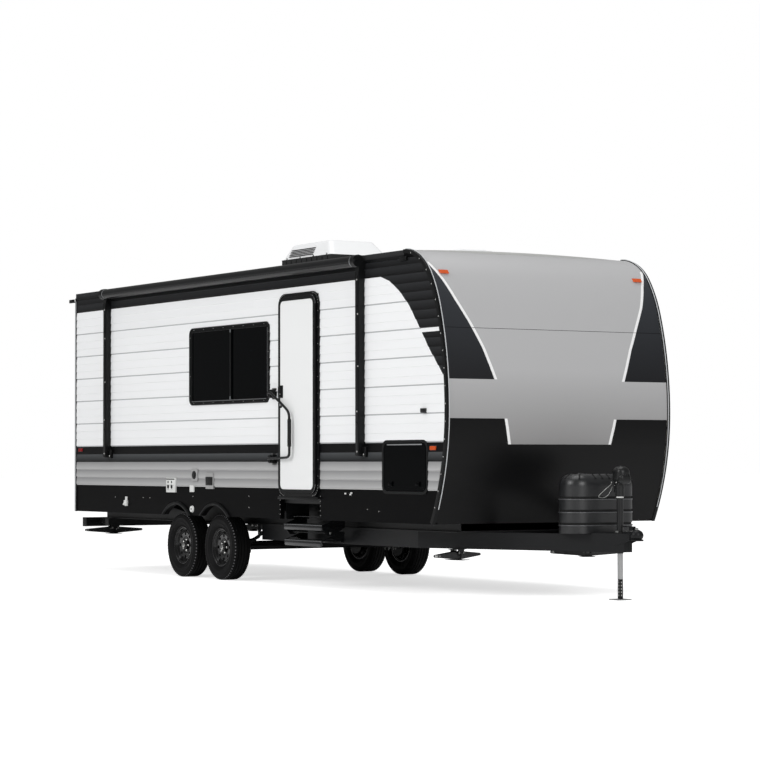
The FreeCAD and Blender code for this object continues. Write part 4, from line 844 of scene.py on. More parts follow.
rail_tube = bent_bar("rail_tube", runs, rail_r, (rail_black,), body="entry_door",
                     smooth=True)
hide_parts("assist_rail")
dress(rail_black, "assist_rail")
grip = bmesh.new()
post(grip, (grip_x, rail_y, grip_low), (grip_x, rail_y, grip_high), grip_r, 28)
post(grip, (grip_x, rail_y, grip_low - grip_lip), (grip_x, rail_y, grip_low), grip_r * grip_taper, 28, grip_r)
post(grip, (grip_x, rail_y, grip_high), (grip_x, rail_y, grip_high + grip_lip), grip_r, 28,
     grip_r * grip_taper)
hang("rail_grip", grip, (foam_black,), body="entry_door")
brackets = bmesh.new()
for z in bracket_heights:
    slab(brackets, (rail_x - 0.048, -wall_y - 0.007, z - 0.056),
         (rail_x + 0.048, -wall_y - 0.0005, z + 0.056), 0.003)
    slab(brackets, (rail_x - 0.034, -wall_y - 0.052, z - 0.042),
         (rail_x + 0.034, -wall_y - 0.006, z + 0.042), 0.008)
hang("rail_brackets", brackets, (rail_black,))
bracket_heads = bmesh.new()
for z in bracket_heights:
    for dx in (-0.040, 0.040):
        for dz in (-0.048, 0.048):
            post(bracket_heads, (rail_x + dx, -wall_y - 0.007, z + dz),
                 (rail_x + dx, -wall_y - 0.010, z + dz), 0.0045, 8, 0.003)
hang("rail_bracket_screws", bracket_heads, (screw_zinc,))

# Baggage doors: a black skinned foam leaf in an extruded frame, hung on a piano hinge along its top that is
# painted bright as a highlight.
# Two slam latches with finger pulls hold it, and a rubber bulb seals round it.
bag_low = (at(6.575), 0.934)
bag_high = (at(7.277), 1.358)
bag_face = wall_y + 0.010
bag_edge = 0.022
bag_edge_t = 0.0012
hinge_leaf = 0.016
hinge_leaf_t = 0.0016
pull_low, pull_high = 0.982, 1.008
pull_inset = 0.125
pull_half = 0.031
bag_black = finish("bag_black", "040506", 0.33, mottle=0.12, sheen=0.03)
dress(bag_black, "baggage_door_right", "baggage_door_left")
for side, name in sides:
    body = "baggage_door_" + name
    leaf = bmesh.new()
    flat_ring(leaf, round_loop(bag_low, bag_high, 0.055),
              round_loop(*shrunk(bag_low, bag_high, bag_edge), 0.033), side * bag_face, side * bag_edge_t)
    for x in (bag_low[0] + pull_inset, bag_high[0] - pull_inset):
        slab(leaf, (x - pull_half, side * (bag_face + 0.008), pull_low),
             (x + pull_half, side * (bag_face + 0.012), pull_high), 0.0015)
    hang("baggage_edge_" + name, leaf, (bag_black,), body=body)
    # The hinge along the top is painted bright as a highlight.
    hinge = bmesh.new()
    slab(hinge, (bag_low[0] + 0.060, side * bag_face, bag_high[1] - hinge_leaf),
         (bag_high[0] - 0.060, side * (bag_face + hinge_leaf_t), bag_high[1] - 0.006), 0.0005)
    hang("baggage_hinge_" + name, hinge, (frame_highlight,), body=body)

# Windows: tinted panes in black clamp frames, with a fixed mullion, rubber glazing beads and small screws.
# A thin bright spline along the lower and the front inner edge of each frame is a painted highlight.
window_proud = 0.014
frame_w = 0.042
bead_w = 0.007
spline_t = 0.0012
spline_end = 0.060
mullion_share = 0.528
window_screw_in = 0.021
window_screw_gap = 0.2
glass_tint = finish("glass_tint", "030405", 0.05, mottle=0.0, bump=0.0, sheen=0.05)
window_black = finish("window_black", "08090A", 0.35, mottle=0.12, sheen=0.1)
glazing = finish("glazing", "0D0E0F", 0.8)
mullion_grey = finish("mullion_grey", "5E6164", 0.45)
dress(glass_tint, "window_glass")
dress(window_black, "window_frames")


def window_dressing(name, low, high, side):
    """Beads, a bright spline painted as a highlight, mullion blocks and screws on one side window."""
    face = side * (wall_y + window_proud)
    out = side * spline_t
    hold = frame_w - 0.002
    beads = bmesh.new()
    flat_ring(beads, round_loop(*shrunk(low, high, hold), 0.030),
              round_loop(*shrunk(low, high, hold + bead_w), 0.024), side * (wall_y + 0.001), side * 0.009)
    flat_ring(beads, round_loop(*shrunk(low, high, 0.002), 0.068),
              round_loop(*shrunk(low, high, 0.012), 0.058), face, out * 2)
    bar_x = low[0] + (high[0] - low[0]) * mullion_share
    slab(beads, (bar_x - 0.004, face, low[1] + frame_w),
         (bar_x + 0.004, face + 2 * out, high[1] - frame_w), 0.0008)
    hang(name + "_beads", beads, (glazing,))
    # The bright spline along the lower and front edges is a painted highlight.
    bright = bmesh.new()
    foot = low[1] + frame_w
    front = high[0] - frame_w
    slab(bright, (low[0] + spline_end, face, foot - 0.006), (high[0] - spline_end, face + out, foot - 0.002))
    slab(bright, (front + 0.002, face, low[1] + spline_end),
         (front + 0.006, face + out, high[1] - spline_end))
    hang(name + "_spline", bright, (frame_highlight,))
    blocks = bmesh.new()
    for z in (low[1] + frame_w + 0.018, high[1] - frame_w - 0.018):
        slab(blocks, (bar_x - 0.011, face, z - 0.016), (bar_x + 0.011, face + 3 * out, z + 0.016), 0.001)
    hang(name + "_blocks", blocks, (mullion_grey,))
    screws = bmesh.new()
    count = round((high[0] - low[0]) / window_screw_gap)
    near, far = shrunk(low, high, window_screw_in)
    spots = [(low[0] + (high[0] - low[0]) * (i + 0.5) / count, z)
             for i in range(count) for z in (near[1], far[1])]
    spots += [(x, low[1] + (high[1] - low[1]) * (i + 0.5) / 4) for i in range(4) for x in (near[0], far[0])]
    for x, z in spots:
        post(screws, (x, face, z), (x, face + side * 0.002, z), 0.0035, 8, 0.0025)
    hang(name + "_screws", screws, (screw_zinc,))


rooms_by_side = ((-1, ("dinette",), right_windows), (1, ("bath", "kitchen", "bed"), left_windows))
for side, rooms, openings in rooms_by_side:
    for room, (low, high) in zip(rooms, openings):
        window_dressing("window_" + room, (at(low[0]), low[1]), (at(high[0]), high[1]), side)

# Awning: two black box arms with folding struts inside, and the fabric rolled on its tube between them.
# The heads are cast knuckles, and the roller's ends carry a pale bearing ring.
awning_arm_rear = at(0.850)
awning_arm_front = at(6.180)
arm_w = 0.065
arm_out = 0.068
axis_z = 3.030
axis_y = -wall_y - 0.073
roller_r = 0.0525
arm_foot = 1.262
hem_turns = (200, 275)
hem_out = 0.0006
ring_out = 0.0012
arm_bolts = ((0.036, 1.287), (0.036, 1.654), (0.054, 2.067), (0.050, 2.545), (0.036, 2.86))
awning_black = finish("awning_black", "0B0C0D", 0.36, mottle=0.1, sheen=0.22)
awning_cloth = finish("awning_cloth", "0D0E0F", 0.3, grain=500.0, bump=0.08, stretch=(0.3, 1, 1), sheen=0.3)
ring_pale = finish("ring_pale", "A8AAAC", 0.4, metal=0.7)
dress(awning_black, "awning_arms")
dress(awning_cloth, "awning_roller")
arms = bmesh.new()
arms_feet = bmesh.new()
for x in (awning_arm_rear, awning_arm_front):
    y = -wall_y - arm_out
    for dx in (0.007, arm_w - 0.015):
        slab(arms, (x + dx, y - 0.004, arm_foot), (x + dx + 0.008, y, 2.93), 0.001)
    slab(arms, (x + 0.020, y - 0.003, arm_foot), (x + arm_w - 0.020, y + 0.001, 2.90), 0.001)
    slab(arms, (x - 0.006, y - 0.004, arm_foot - 0.018),
         (x + arm_w + 0.006, -wall_y - 0.001, arm_foot), 0.002)
    for z in (1.55, 2.62):
        post(arms, (x + arm_w / 2, y - 0.008, z), (x + arm_w / 2, y, z), 0.010, 16)
    slab(arms, (x - 0.003, axis_y - 0.056, axis_z - 0.012),
         (x + arm_w + 0.003, axis_y - 0.010, axis_z + 0.016), 0.005)
hang("awning_arm_details", arms, (awning_black,))
arm_heads = bmesh.new()
for x in (awning_arm_rear, awning_arm_front):
    for dx, z in arm_bolts:
        spot = Vector((x + dx, -wall_y - arm_out - 0.004, z))
        post(arm_heads, spot, spot - Vector((0, 0.0045, 0)), 0.0080, 14, 0.005)
    slab(arms_feet, (x + arm_w, -wall_y - 0.034, 1.238), (x + arm_w + 0.052, -wall_y - 0.001, 1.330), 0.004)
    spot = Vector((x + arm_w + 0.022, -wall_y - 0.034, arm_foot))
    post(arm_heads, spot, spot - Vector((0, 0.004, 0)), 0.0090, 14, 0.006)
    for dx in (-0.012, arm_w + 0.012):
        slab(arms_feet, (x + dx - 0.012, -wall_y - 0.006, 1.250),
             (x + dx + 0.012, -wall_y - 0.001, 1.300), 0.002)
        spot = Vector((x + dx, -wall_y - 0.006, 1.285))
        post(arm_heads, spot, spot - Vector((0, 0.003, 0)), 0.0055, 10, 0.004)
hang("awning_arm_screws", arm_heads, (screw_zinc,))
hang("awning_feet", arms_feet, (awning_black,))
rings = bmesh.new()
for x, turn in ((awning_arm_rear + arm_w, 1), (awning_arm_front, -1)):
    post(rings, (x + turn * 0.004, axis_y, axis_z), (x + turn * 0.016, axis_y, axis_z),
         roller_r + ring_out, 48)
hang("awning_rings", rings, (ring_pale,))
rolled = bmesh.new()
for turn in hem_turns:
    y = axis_y + (roller_r + hem_out) * math.cos(math.radians(turn))
    z = axis_z + (roller_r + hem_out) * math.sin(math.radians(turn))
    slab(rolled, (awning_arm_rear + arm_w + 0.018, y - 0.003, z - 0.0025),
         (awning_arm_front - 0.018, y + 0.003, z + 0.0025), 0.001)
hang("awning_hem", rolled, (awning_black,))

# Marker and tail lamps: a moulded lens with fine ribs over a dark base gasket, held by two screws.
amber_lens = finish("amber_lens", "D0551F", 0.12, coat=0.8, mottle=0.1, bump=0.0)
red_lens = finish("red_lens", "8E0F14", 0.12, coat=0.8, mottle=0.1, bump=0.0)
dress(amber_lens, "amber_lamps")
dress(red_lens, "red_lamps")
lamp_out = 0.016
lamp_rib_out = 0.018
side_ribs = 8
rear_ribs = 10
rear_lamps = ((1.010, 0.980, 0.045, 0.130), (1.000, 2.900, 0.045, 0.017))
gaskets = bmesh.new()
amber_ribs = bmesh.new()
red_ribs = bmesh.new()
lamp_base = finish("lamp_base", "1A1A1B", 0.5)
for side in (-1, 1):
    for form, station, z in ((amber_ribs, 7.397, 1.313), (red_ribs, 0.148, 1.329)):
        x = at(station)
        slab(gaskets, (x - 0.052, side * (wall_y + 0.0005), z - 0.024),
             (x + 0.052, side * (wall_y + 0.006), z + 0.024), 0.002)
        for step in range(side_ribs):
            rib_x = x - 0.036 + step * 0.0103
            slab(form, (rib_x - 0.0022, side * (wall_y + lamp_out), z - 0.013),
                 (rib_x + 0.0022, side * (wall_y + lamp_rib_out), z + 0.013))
    for low_y, z, half_w, half_h in rear_lamps:
        y = side * low_y
        slab(gaskets, (body_rear_x - 0.006, y - half_w - 0.007, z - half_h - 0.007),
             (body_rear_x - 0.0005, y + half_w + 0.007, z + half_h + 0.007), 0.002)
        for step in range(rear_ribs):
            rib_z = z - half_h * 0.85 + step * half_h * 0.19
            slab(red_ribs, (body_rear_x - lamp_rib_out, y - half_w * 0.85, rib_z - 0.001),
                 (body_rear_x - lamp_out, y + half_w * 0.85, rib_z + 0.001))
hang("lamp_gaskets", gaskets, (lamp_base,))
hang("amber_lamp_ribs", amber_ribs, (amber_lens,))
hang("red_lamp_ribs", red_ribs, (red_lens,))

# Service fittings on the right wall: vents, inlets and covers moulded in plastic, screwed over sealant.
# The pale ones are weatherproof covers with a hinged lid, the dark ones are a louvred vent and a power inlet.
fitting_dark = finish("fitting_dark", "131415", 0.45, grain=300.0, bump=0.2, sheen=0.3)
fitting_pale = finish("fitting_pale", "DCDDDB", 0.42, grain=300.0, bump=0.15)
# Slots, seams, grooves and holes are painted this near-black as the shade inside them.
recess_shade = finish("recess_shade", "050505", 0.8)
outlet_x, spout_x, hatch_x, plug_x = at(2.383), at(1.307), at(2.845), at(2.835)
grille_x, inlet_x, clips_x, switch_x = at(3.240), at(2.912), at(5.960), at(7.253)
grille_slats = 4
grille_low = 0.9665
grille_pitch = 0.0180
fittings = two_sided("fittings", "E2E3E2", "161718", "Y", 0.0, 0.45, mirrored=False, grain=300.0, bump=0.15)
dress(fittings, "service_fittings")


def cover(form, x, z, width, height, out):
    """A shell a hair larger than a fitting of the frame, so that it hides it."""
    slab(form, (x - width / 2 - 0.0015, -wall_y - 0.0005, z - height / 2 - 0.0015),
         (x + width / 2 + 0.0015, -wall_y - out - 0.0015, z + height / 2 + 0.0015), 0.004)


pale = bmesh.new()
cover(pale, outlet_x, 0.954, 0.200, 0.150, 0.022)
slab(pale, (outlet_x - 0.084, -wall_y - 0.030, 0.895), (outlet_x + 0.084, -wall_y - 0.022, 1.008), 0.004)
cover(pale, spout_x, 0.752, 0.060, 0.060, 0.024)
post(pale, (spout_x, -wall_y - 0.020, 0.752), (spout_x, -wall_y - 0.036, 0.728), 0.019, 20, 0.015)
slab(pale, (hatch_x - 0.045, -wall_y - 0.018, 0.885), (hatch_x + 0.045, -wall_y - 0.0005, 0.955), 0.006)
post(pale, (plug_x, -wall_y - 0.0005, 0.710), (plug_x, -wall_y - 0.016, 0.710), 0.036, 28, 0.030)
slab(pale, (spout_x - 0.020, -wall_y - 0.014, 0.780), (spout_x + 0.020, -wall_y - 0.0005, 0.822), 0.003)
for dx, dz in ((-0.060, 0.0), (0.030, -0.008), (0.048, 0.006)):
    slab(pale, (clips_x + dx - 0.012, -wall_y - 0.010, 0.900 + dz - 0.007),
         (clips_x + dx + 0.012, -wall_y - 0.0005, 0.900 + dz + 0.007), 0.002)
hang("pale_covers", pale, (fitting_pale,))
# The dark marks on the pale covers are painted shade in their seams and recesses.
pale_marks = bmesh.new()
slab(pale_marks, (outlet_x - 0.092, -wall_y - 0.0262, 1.010),
     (outlet_x + 0.092, -wall_y - 0.0225, 1.021), 0.001)
for dx in (-0.040, 0.040):
    post(pale_marks, (outlet_x + dx, -wall_y - 0.030, 0.936),
         (outlet_x + dx, -wall_y - 0.0318, 0.936), 0.0215, 20)
    post(pale_marks, (outlet_x + dx, -wall_y - 0.030, 0.985),
         (outlet_x + dx, -wall_y - 0.0318, 0.985), 0.0120, 16)
slab(pale_marks, (outlet_x - 0.080, -wall_y - 0.0315, 0.952), (outlet_x + 0.080, -wall_y - 0.029, 0.955))
for dx in (-0.040, 0.040):
    slab(pale_marks, (outlet_x + dx - 0.024, -wall_y - 0.0315, 0.905),
         (outlet_x + dx + 0.024, -wall_y - 0.029, 0.907))
post(pale_marks, (plug_x, -wall_y - 0.016, 0.710), (plug_x, -wall_y - 0.017, 0.710), 0.010, 16)
post(pale_marks, (spout_x, -wall_y - 0.0355, 0.7285), (spout_x, -wall_y - 0.037, 0.7265), 0.009, 16)
hang("pale_cover_marks", pale_marks, (recess_shade,))

dark = bmesh.new()
plates = bmesh.new()
cover(plates, grille_x, 1.000, 0.158, 0.158, 0.020)
cover(plates, inlet_x, 1.060, 0.124, 0.124, 0.020)
plate_grey = finish("plate_grey", "9A9A9A", 0.5, mottle=0.1)
hang("mounting_plates", plates, (plate_grey,))
for step in range(grille_slats):
    z = grille_low + step * grille_pitch
    slab(dark, (grille_x - 0.066, -wall_y - 0.0300, z),
         (grille_x + 0.066, -wall_y - 0.020, z + 0.009), 0.0015)
slab(dark, (grille_x - 0.074, -wall_y - 0.0245, 0.957), (grille_x + 0.074, -wall_y - 0.0200, 1.043), 0.002)
post(dark, (inlet_x, -wall_y - 0.0200, 1.060), (inlet_x, -wall_y - 0.0270, 1.060), 0.044, 32, 0.040)
post(dark, (inlet_x, -wall_y - 0.0265, 1.060), (inlet_x, -wall_y - 0.0330, 1.060), 0.026, 32, 0.023)
slab(dark, (switch_x - 0.030, -wall_y - 0.034, 1.630), (switch_x + 0.030, -wall_y - 0.025, 1.660), 0.004)
hang("dark_fittings", dark, (fitting_dark,))

# Left side fittings: the refrigerator's louvred vents, water heater door, furnace grille and filler dish.
# They are moulded in pale plastic: slats stand out where air passes, and a round lid closes the filler.
fridge_x, furnace_x, heater_x, filler_x = at(4.150), at(5.300), at(1.750), at(2.350)
fridge_half, furnace_half, heater_half = 0.225, 0.105, 0.190
louvre_pitch = 0.0285
furnace_slats, furnace_low, furnace_pitch = 6, 0.925, 0.027
heater_slats, heater_low, heater_pitch = 5, 1.070, 0.018
louvres = bmesh.new()
for z0, rows in ((0.905, 11), (2.345, 7)):
    for step in range(rows):
        z = z0 + step * louvre_pitch
        slab(louvres, (fridge_x - fridge_half, wall_y + 0.014, z),
             (fridge_x + fridge_half, wall_y + 0.0235, z + 0.013), 0.002)
for step in range(furnace_slats):
    z = furnace_low + step * furnace_pitch
    slab(louvres, (furnace_x - furnace_half, wall_y + 0.012, z),
         (furnace_x + furnace_half, wall_y + 0.021, z + 0.012), 0.002)
slab(louvres, (heater_x - heater_half, wall_y + 0.017, 0.790),
     (heater_x + heater_half, wall_y + 0.0215, 1.170), 0.003)
for step in range(heater_slats):
    z = heater_low + step * heater_pitch
    slab(louvres, (heater_x - 0.150, wall_y + 0.020, z),
         (heater_x + 0.150, wall_y + 0.0236, z + 0.007), 0.001)
post(louvres, (filler_x, wall_y + 0.014, 1.120), (filler_x, wall_y + 0.0236, 1.120), 0.048, 32, 0.044)
hang("left_louvres", louvres, (fitting_pale,))

# Tyres: rubber with four grooves round the tread, siped shoulders and fine ridges on the walls.
# Each profile point is (radius, out from the middle, share of the sipe's depth cut there).
axle_stations = (2.480, 3.324)
tyre_r = 0.330
track_half = 1.0725
sipes = 60
sipe_depth = 0.0045
sipe_cuts = ((0.0, 0), (0.80, 0), (0.83, 1), (0.97, 1))
shoulder_block = ((0.3205, 0.0865), (0.3215, 0.0890), (0.3285, 0.0800), (0.3270, 0.0775))
shoulder_from, shoulder_share = 0.18, 0.34
groove_depth = 0.008
groove_half = 0.0035
groove_places = (-0.050, -0.018, 0.018, 0.050)
tyre_wall = ((0.1785, 0.058, 0), (0.196, 0.062, 0), (0.206, 0.078, 0), (0.226, 0.093, 0), (0.238, 0.0985, 0),
             (0.240, 0.1000, 0), (0.243, 0.0990, 0), (0.262, 0.1020, 0), (0.280, 0.1010, 0),
             (0.283, 0.1022, 0), (0.286, 0.1000, 0), (0.302, 0.0965, 0), (0.311, 0.0935, 1),
             (0.319, 0.0890, 1), (0.325, 0.0810, 1), (0.3280, 0.0740, 1), (0.3285, 0.0640, 1),
             (0.3287, 0.0620, 0))
tyre_black = finish("tyre_black", "0C0C0D", 0.6, grain=260.0, bump=0.25, mottle=0.15, sheen=0.15)
# The blocks along each tyre's shoulder are painted pale as a highlight on the shoulder.
shoulder_highlight = finish("shoulder_highlight", "5C5C5E", 0.5, mottle=0.1, sheen=0.6)


def tyre_profile():
    """The whole closed section, from the outer bead over the tread to the inner bead."""
    crown = []
    for middle in reversed(groove_places):
        crown += [(tyre_r - 0.0007, middle + groove_half + 0.001, 0),
                  (tyre_r - groove_depth, middle + groove_half - 0.001, 0),
                  (tyre_r - groove_depth, middle - groove_half + 0.001, 0),
                  (tyre_r - 0.0007, middle - groove_half - 0.001, 0)]
    inner = [(r, -a, cut) for r, a, cut in reversed(tyre_wall)]
    return list(tyre_wall) + crown + inner


def on_wheel(centre, side, reach, out, turn):
    """A place on a wheel, by its reach from the axle, its distance outward and its turn round the axle."""
    return centre + Vector((reach * math.cos(turn), side * out, reach * math.sin(turn)))


def tyre_piece(name, centre, side):
    """One tyre's siped tread and walls, and the blocks along its shoulder, painted pale as a highlight."""
    rings = []
    for step in range(sipes):
        for share, cut in sipe_cuts:
            turn = 2 * math.pi * (step + share) / sipes
            rings.append([on_wheel(centre, side, r - notch * cut * sipe_depth, out, turn)
                          for r, out, notch in tyre_profile()])
    form = bmesh.new()
    skin(form, rings, closed=True)
    hang("tyre_tread_" + name, form, (tyre_black,), body="wheel_" + name,
         stands_for=("tyre_" + name,), crease=35)
    dress(tyre_black, "tyre_" + name)
    blocks = bmesh.new()
    for step in range(sipes):
        start = 2 * math.pi * (step + shoulder_from) / sipes
        end = start + 2 * math.pi * shoulder_share / sipes
        skin(blocks, [[on_wheel(centre, side, r, out, turn) for r, out in shoulder_block]
                      for turn in (start, end)])
    hang("tyre_shoulder_" + name, blocks, (shoulder_highlight,), body="wheel_" + name)


# Wheels: black painted steel, pressed in steps, with bright lug nuts, a grease cap and a rubber valve stem.
# Six turned ridges mark the pressed steps, and five nuts stand round the cap.
lug_ring = 0.05715
lug_nuts = 5
ridge_half = 0.003
ridge_out = 0.0025
ridge_steps = 56
pressed_steps = ((0.185, 0.071), (0.1715, 0.057), (0.1700, 0.050), (0.1620, 0.041), (0.1410, 0.0405),
                 (0.0830, 0.0335))
wheel_black = finish("wheel_black", "0E0E0F", 0.26, coat=0.4, mottle=0.1)
nut_bright = finish("nut_bright", "C4C4C2", 0.25, metal=1.0)
hub_dark = finish("hub_dark", "2B2B2C", 0.45, metal=0.6)


def turned(form, section, centre, axis, steps):
    """A closed section turned once round an axis through a centre."""
    corners = [form.verts.new(place) for place in section]
    rim = [form.edges.new(pair) for pair in zip(corners, corners[1:] + corners[:1])]
    bmesh.ops.spin(form, geom=corners + rim, cent=centre, axis=axis, angle=2 * math.pi, steps=steps,
                   use_merge=True)


def wheel_details(name, centre, side):
    """Ridges, nuts, grease cap, hub and valve of one wheel."""
    body = "wheel_" + name
    out = Vector((0, side, 0))
    dress(wheel_black, body)
    ridges = bmesh.new()
    for r, a in pressed_steps:
        crest = ((r + ridge_half, a - ridge_half), (r, a + ridge_out), (r - ridge_half, a - ridge_half))
        turned(ridges, [on_wheel(centre, side, reach, far, 0.0) for reach, far in crest], centre,
               (0, 1, 0), ridge_steps)
    hang("wheel_ridges_" + name, ridges, (wheel_black,), body=body, crease=50)
    nuts = bmesh.new()
    for step in range(lug_nuts):
        spot = on_wheel(centre, side, lug_ring, 0.0, 2 * math.pi * step / lug_nuts)
        post(nuts, spot + out * 0.0272, spot + out * 0.043, 0.0125, 6)
        post(nuts, spot + out * 0.043, spot + out * 0.0475, 0.0118, 12, 0.007)
    post(nuts, centre + out * 0.0502, centre + out * 0.0665, 0.0315, 32, 0.0310)
    post(nuts, centre + out * 0.0665, centre + out * 0.0700, 0.0300, 32, 0.0200)
    hang("wheel_nuts_" + name, nuts, (nut_bright,), body=body)
    hub = bmesh.new()
    post(hub, centre + out * 0.0280, centre + out * 0.0505, 0.0428, 32)
    post(hub, centre + out * 0.0690, centre + out * 0.0705, 0.0090, 16)
    hang("wheel_hub_" + name, hub, (hub_dark,), body=body)
    stem = bmesh.new()
    foot = centre + Vector((0, 0, 0.150)) + out * 0.036
    post(stem, foot, foot + out * 0.030 - Vector((0, 0, 0.004)), 0.0055, 14, 0.0042)
    post(stem, foot + out * 0.030 - Vector((0, 0, 0.004)),
         foot + out * 0.040 - Vector((0, 0, 0.0054)), 0.0050, 14)
    hang("wheel_valve_" + name, stem, (rubber_black,), body=body)


for row, station in zip(("rear", "front"), axle_stations):
    for side, side_name in sides:
        centre = Vector((at(station), side * track_half, tyre_r))
        tyre_piece(row + "_" + side_name, centre, side)
        wheel_details(row + "_" + side_name, centre, side)

# Axles and springs: painted beams with plated brake plates, leaf packs clamped by U-bolts and shackle bolts.
# The bolts have hexagon heads: at the spring eyes and equalisers, under the axles and on the brake plates.
spring_y = 0.860
eye_z = 0.479
eye_reach = 0.330
equaliser_z = 0.524
brake_ring = 0.058
brake_y = 0.9555
brake_bolts_round = 5
axle_black = finish("axle_black", "121314", 0.5, mottle=0.2, grain=200.0, bump=0.2, sheen=0.35)
spring_dark = finish("spring_dark", "17181A", 0.55, metal=0.3, mottle=0.25, grain=220.0, bump=0.3)
bolt_zinc = finish("bolt_zinc", "9FA09E", 0.4, metal=0.9, mottle=0.1)
dress(axle_black, "axles")
dress(spring_dark, "leaf_springs")
bolts = bmesh.new()
for side in (-1, 1):
    for station in axle_stations:
        for dx in (-eye_reach, eye_reach):
            for near, far in ((0.0285, 0.0375), (-0.0285, -0.0365)):
                spot = Vector((at(station) + dx, side * spring_y, eye_z))
                post(bolts, spot + Vector((0, side * near, 0)), spot + Vector((0, side * far, 0)), 0.0125, 6)
        for dx in (-0.036, 0.036):
            for dy in (-0.0285, 0.0285):
                spot = Vector((at(station) + dx, side * spring_y + dy, 0.290))
                post(bolts, spot, spot - Vector((0, 0, 0.010)), 0.0105, 6)
                post(bolts, spot - Vector((0, 0, 0.010)), spot - Vector((0, 0, 0.022)), 0.0058, 10)
    middle = at(sum(axle_stations) / 2)
    for near, far in ((0.0285, 0.0385), (-0.0285, -0.0375)):
        post(bolts, (middle, side * (spring_y + near), equaliser_z),
             (middle, side * (spring_y + far), equaliser_z), 0.0135, 6)
hang("spring_bolts", bolts, (bolt_zinc,))
brake_bolts = bmesh.new()
for side in (-1, 1):
    for station in axle_stations:
        for step in range(brake_bolts_round):
            turn = 2 * math.pi * (step + 0.5) / brake_bolts_round
            spot = Vector((at(station) + brake_ring * math.cos(turn), side * brake_y,
                           tyre_r + brake_ring * math.sin(turn)))
            post(brake_bolts, spot, spot - Vector((0, side * 0.009, 0)), 0.0085, 6)
hang("brake_bolts", brake_bolts, (bolt_zinc,))

# Chassis and tongue: welded beams and channels in satin black chassis paint, bare of chrome.
# The rear bumper is an open square tube, and a rubber cap is pushed on each of its ends.
frame_black = finish("frame_black", "0D0E0F", 0.46, mottle=0.2, grain=180.0, bump=0.15, sheen=0.35)
tongue_black = finish("tongue_black", "101113", 0.42, mottle=0.15, grain=180.0, bump=0.12, sheen=0.28)
dress(frame_black, "chassis")
dress(tongue_black, "tongue_frame")
caps = bmesh.new()
for side in (-1, 1):
    slab(caps, (at(-0.1499), side * 1.058, 0.4685), (at(-0.0485), side * 1.0635, 0.5715), 0.002)
    slab(caps, (at(-0.145), side * 1.0600, 0.476), (at(-0.055), side * 1.0655, 0.564), 0.002)
hang("bumper_caps", caps, (rubber_black,))

# Tongue nose: the two rails run on past the jack and are welded together under the coupler.
# Each is one block cut round the jack's tube, from the end of the frame's rail to the apex.
apex_x = 0.1345
rail_slope = 0.4343
rail_out = 0.0349
neck_half = 0.0445
rail_low, rail_high = 0.413, 0.565


def prism(form, plan, low_z, high_z):
    """A plate or block standing on a plan outline."""
    skin(form, [[(x, y, z) for x, y in plan] for z in (low_z, high_z)])


def rail_face(x):
    """Y of a rail's outer face, held off the centreline where the coupler's neck begins."""
    return max((apex_x - x) * rail_slope + rail_out, neck_half)


nose = bmesh.new()
for side in (-1, 1):
    plan = [(-0.047, rail_face(-0.047)), (0.112, rail_face(0.112)), (0.112, 0.001), (0.036, 0.001),
            (0.030, 0.031), (-0.030, 0.031), (-0.047, 0.044)]
    prism(nose, [(x, side * y) for x, y in plan], rail_low, rail_high)
hang("tongue_nose", nose, (tongue_black,))

# Coupler: a pressed steel socket with a hand lever, its spring pin and the plate bolts that hold the jack.
socket_middle = Vector((0.2345, 0, 0.561))
socket_reach = (0.058, 0.058, 0.050, 1)
flange_rear = -0.1755
flange_top = 0.574
flange_t = 0.006
flange_line = ((flange_rear, 0.560, flange_top), (0.030, 0.470, flange_top), (0.112, 0.492, flange_top),
               (0.200, 0.518, 0.566))
shell = bmesh.new()
prism(shell, [(flange_rear, -0.1690), (0.112, -neck_half), (socket_middle.x, -neck_half),
              (socket_middle.x, neck_half), (0.112, neck_half), (flange_rear, 0.1690)], 0.566, flange_top)
bmesh.ops.create_uvsphere(shell, u_segments=36, v_segments=20, radius=1.0,
                          matrix=Matrix.Translation(socket_middle) @ Matrix.Diagonal(socket_reach))
slab(shell, (0.085, -0.0440, 0.513), (0.240, 0.0440, 0.592), 0.018, 5)
post(shell, (socket_middle.x, 0, 0.5125), (socket_middle.x, 0, 0.5260), 0.0578, 36)
for side in (-1, 1):
    skin(shell, [[(x, side * (rail_face(x) + out), z) for out, z in
                  ((0.0, low_z), (flange_t, low_z), (flange_t, high_z), (0.0, high_z))]
                 for x, low_z, high_z in flange_line])
hang("coupler_shell", shell, (tongue_black,), stands_for=("coupler",))
dress(tongue_black, "coupler")
jack_bolt_ring = 0.055
coupler_nuts = bmesh.new()
for step in range(3):
    turn = math.radians(60 + 120 * step)
    spot = Vector((jack_bolt_ring * math.cos(turn), jack_bolt_ring * math.sin(turn), 0.582))
    post(coupler_nuts, spot, spot + Vector((0, 0, 0.009)), 0.010, 6)
    post(coupler_nuts, spot, spot + Vector((0, 0, 0.014)), 0.0052, 10)
post(coupler_nuts, (socket_middle.x, 0, 0.612), (socket_middle.x, 0, 0.6205), 0.0160, 6)
post(coupler_nuts, (socket_middle.x, 0, 0.612), (socket_middle.x, 0, 0.626), 0.0085, 14)
hang("coupler_nuts", coupler_nuts, (bolt_zinc,))
lever = bmesh.new()
slab(lever, (0.060, -0.0165, 0.6305), (0.200, 0.0165, 0.6365), 0.002)
slab(lever, (0.036, -0.0130, 0.6330), (0.075, 0.0130, 0.6410), 0.003)
for side in (-1, 1):
    slab(lever, (0.150, side * 0.0190, 0.600), (0.196, side * 0.0135, 0.634), 0.001)
post(lever, (0.176, -0.024, 0.617), (0.176, 0.024, 0.617), 0.0055, 14)
hang("coupler_lever", lever, (tongue_black,))

